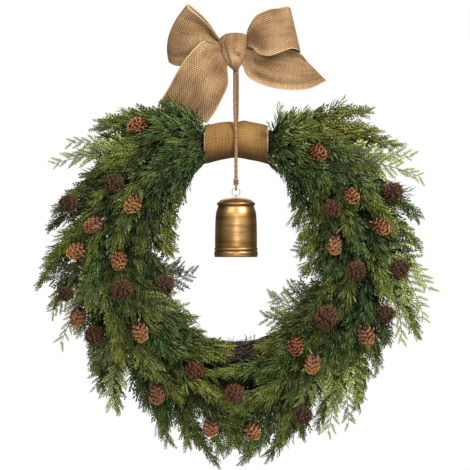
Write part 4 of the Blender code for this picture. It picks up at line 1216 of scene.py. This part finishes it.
def cedar_bunch(name, sprigs, material):
    """One bunch of plumes, each from its own root in the ring, as one piece."""
    rng = random.Random(name)
    bm, tip_layer, _, _ = marked_bmesh("tip", "tone", "dim")
    for root, tip, tone, dim in plumes_of(name):
        angle, radius, y = tip
        backing = dim >= BACKING_SHADE
        on_outline = radius > 250 and y > -50 and not backing
        if on_outline:  # the tips are set back a little in the table, most at the bottom
            radius += 8 + 14 * max(0.0, (abs(angle) - 150) / 35)
        tip = (angle + rng.uniform(-2, 2), radius + rng.uniform(-4, 4), y)
        lean = max(-22, min(24, 0.4 * (radius - FORK_RADIUS / MM)))
        if backing:
            root_y = -12 * MM
        else:
            root_y = (-22 if y > -40 else -34) * MM
        points = plume_axis(root, tip, 12, FORK_RADIUS + lean * MM, root_y)
        tone += rng.uniform(-0.35, 0.3)
        # random extra painted shade from plume to plume
        dim += rng.uniform(0, 0.4)
        shadow = 0.2 if abs(root) < 20 else 0.8
        add_plume(bm, tip_layer, points, sprigs, tone, dim, shadow, rng.uniform(0.94, 1.08), rng)
    if name.endswith("_1"):
        add_collar(bm, 1 if BUNCHES[name] > 0 else -1, sprigs, rng)
    piece(name + "_plumes", bm, material, stands_for=[name])


# Fern sprays


def fern_rib(name, seed):
    """A side rib along +Z that faces -Y, with short lobed leaflets on both sides."""
    rng = random.Random(seed)
    bm, tip, _, rib = marked_bmesh("tip", "tone", "rib")
    line = [Vector((math.sin(k / 4) * 1.5 * MM, 0, RIB_LENGTH * k / 4)) for k in range(5)]
    rolled_tube(bm, line, [0.0, 1.1 * MM, 0.9 * MM, 0.7 * MM, 0.0], 3)
    for v in bm.verts:
        v[rib] = 0.8
    pairs = 6
    for k in range(pairs):
        for side in (-1, 1):
            t = (k + 0.7 + 0.25 * side) / (pairs + 0.7)
            base = Vector((math.sin(t) * 1.5 * MM, 0, RIB_LENGTH * t))
            angle = side * rng.uniform(0.55, 0.8)
            long = (8.2 - 3.0 * t) * rng.uniform(0.85, 1.15) * MM
            lift = rng.uniform(-0.5, 1.2) * MM
            strand(bm, tip, base, angle, long, 1.9 * MM, side * 0.14, lift, (0.1, 1.0), 2)
            lobe = base + Vector((math.sin(angle), 0, math.cos(angle))) * long * 0.42
            for fork in (-1, 1):
                strand(bm, tip, lobe, angle + fork * 0.85, long * 0.58, 1.8 * MM, 0.0, 0.0, (0.5, 1.0), 2)
    end = Vector((1.2 * MM, 0, RIB_LENGTH * 0.88))
    strand(bm, tip, end, 0.0, 9 * MM, 2.8 * MM, 0.0, 0.0, (0.4, 1.0))
    return keep_mesh(name, bm)


def fern_node(name, row, ribs, material):
    """The flat sprays of one root: a midrib each, with side ribs on both sides, shorter towards its tip."""
    root_angle, *tips = row
    rng = random.Random(name)
    bm, _, _, rib = marked_bmesh("tip", "tone", "rib")
    foot = clock(root_angle, RING_RADIUS, -22 * MM)
    fork = clock(root_angle, FORK_RADIUS, FORK_Y)
    rolled_tube(bm, [foot, foot.lerp(fork, 0.5), fork], [1.8 * MM, 1.8 * MM, 0.0], 6, marks=(rib, [1.0] * 3))
    steps = 14
    for angle, radius, y, tone in tips:
        points = plume_axis(root_angle, (angle, radius, y), steps)
        radii = [1.6 * MM * (1 - 0.65 * k / steps) for k in range(steps)] + [0.0]
        rolled_tube(bm, points, radii, 4, marks=(rib, [1.0] * (steps + 1)))
        bare = 0.2 + 0.012 * max(0.0, abs(angle - root_angle) - 22)  # share of the midrib without side ribs
        number = round(round(line_length(points) / (6.6 * MM)) * (1 - bare) / 0.8)
        for k in range(number):
            t = bare + (0.98 - bare) * (k + rng.uniform(-0.35, 0.35)) / number
            point, way = along_line(points, t)
            across = way.cross(Vector((0, 1, 0))).normalized()
            side = 1 if k % 2 else -1
            spread = math.radians(48 - 18 * t + rng.uniform(-12, 12))
            aim = way * math.cos(spread) + across * side * math.sin(spread)
            aim.y += rng.uniform(-0.2, 0.2)
            size = (1.25 - 0.8 * max(0.0, t - 0.25) / 0.75) * rng.uniform(0.7, 1.15)
            reach = aim * (RIB_LENGTH + 2 * MM) * size
            if hides_pick(point + reach * 0.4) or hides_pick(point + reach):
                continue
            place = aimed(point, aim, Vector((0, -1, 0)), size)
            lay(bm, ribs[k % len(ribs)], place, tone=tone + rng.uniform(-0.12, 0.12))
    piece(name + "_sprays", bm, material, stands_for=[name])


# Cones and pods


def hanging_way(degrees, lean):
    """A direction from straight down, turned to the right by degrees and leant to the front."""
    a, b = math.radians(degrees), math.radians(lean)
    return Vector((math.sin(a) * math.cos(b), -math.sin(b), -math.cos(a) * math.cos(b)))


def stalk(name, base, foot, steps, sag, thick, material):
    """A thin stalk from inside a cone or pod to what carries it."""
    bm = bmesh.new()
    shares = [k / steps for k in range(steps + 1)]
    line = [base.lerp(foot, t) + Vector((0, -sag * math.sin(math.pi * t), 0)) for t in shares]
    rolled_tube(bm, line, pointed(thick, steps + 1), 6)
    piece(name + "_stalk", bm, material)


def cone_scale():
    """One woody scale along +Z that faces -Y: a broad spoon with a thick edge, which the paint makes pale,
    partly as painted highlight.
    """
    bm, edge, _ = marked_bmesh("edge", "tone")
    bmesh.ops.create_grid(bm, x_segments=5, y_segments=4, size=0.5)
    for v in bm.verts:
        across, up = v.co.x * 2, v.co.y + 0.5
        half = 7.2 * MM * (0.3 + 0.7 * math.sin(math.pi * min(0.5, 0.12 + 0.5 * up)))
        round_off = 1 - 0.3 * across * across * up
        v[edge] = up * (1 - 0.06 * across * across)
        cupped = (2.6 * across * across - 1.8 * up * up) * MM
        v.co = Vector((across * half, cupped, 11.5 * MM * up * round_off))
    bmesh.ops.solidify(bm, geom=bm.faces[:], thickness=1.3 * MM)
    return keep_mesh("cone_scale", bm)


def cone(index, row, scale, material, stalk_material):
    """A cone whose tip points along its way: a core, painted dark as shade, in tiers of scales, and its
    stalk.
    """
    x, y, z, turn, lean, foot_x, foot_y, foot_z, warmth = row
    rng = random.Random(index)
    name = f"cone_{index:02d}"
    way = hanging_way(turn, min(lean, MOST_LEAN))
    centre = Vector((x, y, z)) * MM
    slender = Matrix.Diagonal((0.85, 0.85, 0.94, 1.0))
    place = Matrix.Translation(centre) @ way.to_track_quat("Z", "X").to_matrix().to_4x4() @ slender
    bm, _, _ = marked_bmesh("edge", "tone")
    core = bmesh.ops.create_uvsphere(bm, u_segments=12, v_segments=8, radius=1)["verts"]
    for v in core:
        v.co = place @ Vector((v.co.x * 5.8 * MM, v.co.y * 5.8 * MM, v.co.z * 13 * MM - 1 * MM))
    tiers, round_it = 8, 5
    broad = Matrix.Diagonal((1.3, 1.0, 0.9, 1.0))
    up = Vector((0, 0, 1))
    for k in range(tiers * round_it):
        tier = k // round_it
        t = (tier + 0.5 + rng.uniform(-0.12, 0.12)) / tiers
        girth = math.sin(math.pi * (0.2 + 0.72 * t))
        around = 2 * math.pi * (k % round_it + 0.5 * (tier % 2) + rng.uniform(-0.1, 0.1)) / round_it
        opening = math.radians(34 - 20 * t + rng.uniform(-5, 5))
        out = Vector((math.cos(around), math.sin(around), 0))
        scale_way = (up * math.cos(opening) + out * math.sin(opening)).normalized()
        facing = (out * math.cos(opening) - up * math.sin(opening)).normalized()
        size = (0.55 + 0.45 * girth) * rng.uniform(0.92, 1.08)
        base = out * (1.0 + 6.2 * girth) * MM + up * ((t - 0.5) * CONE_LENGTH * 0.8 - 4.5 * MM)
        scale_place = place @ aimed(base, scale_way, facing, size) @ broad
        lay(bm, scale, scale_place, tone=warmth + rng.uniform(-0.35, 0.35))
    piece(name + "_scales", bm, material, stands_for=[name])
    foot = Vector((foot_x, foot_y, foot_z)) * MM
    stalk(name, centre - way * 12.5 * MM, foot, 5, 1.2 * MM, 0.85 * MM, stalk_material)


def pod_mouth():
    """One opening of a sweet-gum pod along +Z: a rim round a hole painted dark as shade at its bottom, with
    two beaks.
    """
    bm, edge, _ = marked_bmesh("edge", "tone")
    sides = 6
    ring = bmesh.ops.create_circle(bm, cap_ends=False, segments=sides, radius=2.3 * MM)["verts"]
    for v in ring:
        v[edge] = 0.35
    # the hole's bottom gets level 0, which the paint makes dark as painted shade
    for radius, height, level in ((1.9, 1.6, 0.9), (1.0, 1.9, 0.5), (0.7, -0.6, 0.0)):
        edges = [e for e in bm.edges if all(v in ring for v in e.verts)]
        out = bmesh.ops.extrude_edge_only(bm, edges=edges)["geom"]
        ring = [g for g in out if isinstance(g, bmesh.types.BMVert)]
        for v in ring:
            flat = Vector((v.co.x, v.co.y, 0)).normalized() * radius * MM
            v.co = Vector((flat.x, flat.y * 0.62, height * MM))
            v[edge] = level
    bmesh.ops.holes_fill(bm, edges=bm.edges[:], sides=sides)
    for side in (-1, 1):
        foot = Vector((side * 1.2 * MM, 0, 1.2 * MM))
        tip = Vector((side * 2.4 * MM, 0.8 * side * MM, 5.2 * MM))
        beak = [foot, foot.lerp(tip, 0.4), tip]
        rolled_tube(bm, beak, [0.6 * MM, 0.4 * MM, 0.0], 3, marks=(edge, (0.5, 0.8, 1.0)))
    return keep_mesh("pod_mouth", bm)


def pod(index, row, mouth, material, stalk_material):
    """A ball with mouths spread evenly over it, and its stalk."""
    x, y, z, size, foot_x, foot_y, foot_z, warmth = row
    rng = random.Random(100 + index)
    name = f"pod_{index:02d}"
    centre = Vector((x, y, z)) * MM
    bm, edge, tone = marked_bmesh("edge", "tone")
    core = bmesh.ops.create_icosphere(bm, subdivisions=3, radius=POD_CORE_RADIUS * size)["verts"]
    for v in core:
        # the sunken core between the mouths takes mostly painted shade
        v[edge] = 0.25
        v[tone] = warmth
        v.co += centre
    number = 72
    golden_angle = math.radians(137.508)
    for k in range(number):
        height = 1 - 2 * (k + 0.5) / number
        flat = math.sqrt(1 - height * height)
        turn = k * golden_angle + rng.uniform(-0.25, 0.25)
        out = Vector((flat * math.cos(turn), flat * math.sin(turn), height))
        spin = Matrix.Rotation(rng.uniform(0, math.pi), 4, "Z")
        depth = rng.uniform(11.0, 12.3) * MM * size
        place = aimed(centre + out * depth, out, out.orthogonal(), size * rng.uniform(0.85, 1.15)) @ spin
        lay(bm, mouth, place, tone=warmth + rng.uniform(-0.15, 0.15))
    piece(name + "_husk", bm, material, stands_for=[name])
    foot = Vector((foot_x, foot_y, foot_z)) * MM
    stalk(name, centre.lerp(foot, 0.5), foot, 4, 0.0, 0.9 * MM, stalk_material)


# Stage


def soft_light(name, azimuth, elevation, far, width, height, strength):
    """A large area light that faces the wreath's middle. Azimuth is positive to the right."""
    a, e = math.radians(azimuth), math.radians(elevation)
    middle = Vector((0, 0, RING_Z))
    back = Vector((math.sin(a) * math.cos(e), -math.cos(a) * math.cos(e), math.sin(e)))
    lamp = bpy.data.lights.new(name, "AREA")
    lamp.shape = "RECTANGLE"
    lamp.size = width
    lamp.size_y = height
    lamp.energy = strength
    made = bpy.data.objects.new(name, lamp)
    made.location = middle + back * far
    made.rotation_mode = "QUATERNION"
    made.rotation_quaternion = (-back).to_track_quat("-Z", "Y")
    bpy.context.scene.collection.objects.link(made)


def studio():
    """A white room: soft light from the front, back, upper left and right, and a pale floor far below."""
    world = bpy.data.worlds.new("white_room")
    bpy.context.scene.world = world
    world.use_nodes = True
    nodes, links = world.node_tree.nodes, world.node_tree.links
    shown = nodes["Background"]
    shown.inputs["Color"].default_value = (1, 1, 1, 1)
    shown.inputs["Strength"].default_value = 1.0
    glow = nodes.new("ShaderNodeBackground")  # what the room gives back to the wreath
    glow.inputs["Color"].default_value = (1, 1, 1, 1)
    glow.inputs["Strength"].default_value = 0.16
    seen = nodes.new("ShaderNodeLightPath")
    blend = nodes.new("ShaderNodeMixShader")
    links.new(seen.outputs["Is Camera Ray"], blend.inputs[0])
    links.new(glow.outputs[0], blend.inputs[1])
    links.new(shown.outputs[0], blend.inputs[2])
    links.new(blend.outputs[0], nodes["World Output"].inputs["Surface"])
    soft_light("left_softbox", -30, 36, 2.6, 1.3, 1.3, 38)
    soft_light("right_softbox", 40, 38, 2.6, 0.8, 1.1, 94)
    soft_light("front_softbox", 4, 4, 3.6, 1.4, 1.8, 42)
    soft_light("back_softbox", 180, 30, 3.2, 1.6, 1.6, 24)
    half_width, floor_z = 7, -1.5
    bm = bmesh.new()
    bmesh.ops.create_grid(bm, x_segments=8, y_segments=8, size=half_width)
    bmesh.ops.translate(bm, verts=bm.verts, vec=(0, 0, floor_z))
    mesh = keep_mesh("floor", bm)
    paint = Paint("pale_floor", roughness=0.9)
    mesh.materials.append(paint.finish(shade(244, 243, 240)))
    floor = bpy.data.objects.new("floor", mesh)
    bpy.context.scene.collection.objects.link(floor)
    bpy.context.scene.view_settings.view_transform = "Standard"


def camera():
    """A long lens from the front: 705 mm of the wreath's front fill the picture's width."""
    lens = bpy.data.cameras.new("camera")
    made = bpy.data.objects.new("camera", lens)
    far, shown = 5.0, 0.705
    lens.sensor_width = 36
    lens.lens = lens.sensor_width * far / shown
    lens.clip_end = 60
    made.location = (-1.5 * MM, -30 * MM - far, -278.25 * MM)
    made.rotation_euler = (math.radians(90), 0, 0)
    bpy.context.scene.collection.objects.link(made)
    bpy.context.scene.camera = made


def make_wreath():
    burlap = burlap_paint("bow_burlap", shade(50, 32, 14), shade(106, 75, 45), shade(196, 162, 120))
    band = burlap_paint(
        "strap_burlap", shade(50, 30, 12), shade(102, 72, 36), shade(160, 124, 70),
        # painted shade on the strap's lower part, under the ring's top
        foot=(-172 * MM, -136 * MM, shade(66, 40, 20)),
    )
    jute, brass, steel = jute_paint(), brass_paint(), steel_paint()
    vine_ring(twig_paint())
    strap(band)
    folds = (5.0, 1.5, -0.18, 2.5, 22)
    loops = ribbon("bow_loops_cloth", LOOP_SECTIONS, True, 36, 7, folds, burlap, "bow_loops", 0.40)
    folds = (3.4, 1.8, 0.4, 5.0, 0)
    tails = ribbon("bow_tails_cloth", TAIL_SECTIONS, False, 36, 8, folds, burlap, "bow_tails", 0.30)
    bow_knot(burlap)
    jute_twine(jute)
    split_ring(steel)
    bell(brass)
    bell_staple(brass)
    clapper(brass)

    cedar = cedar_paint()
    needles = [cedar_sprig(f"sprig_{k}", k) for k in range(8)]
    fronds = [cedar_frond(f"frond_{k}", k) for k in range(6)]
    for name in BUNCHES:
        cedar_bunch(name, (needles, fronds), cedar)
    fern = fern_paint()
    ribs = [fern_rib(f"rib_{k}", k) for k in range(3)]
    for name, row in FERN.items():
        fern_node(name, row, ribs, fern)
    cone_brown, stalk_brown, husk = cone_paint(), stalk_paint(), pod_paint()
    scale = cone_scale()
    for index, row in enumerate(CONES, 1):
        cone(index, row, scale, cone_brown, stalk_brown)
    mouth = pod_mouth()
    for index, row in enumerate(PODS, 1):
        pod(index, row, mouth, husk, stalk_brown)


make_wreath()
studio()
camera()
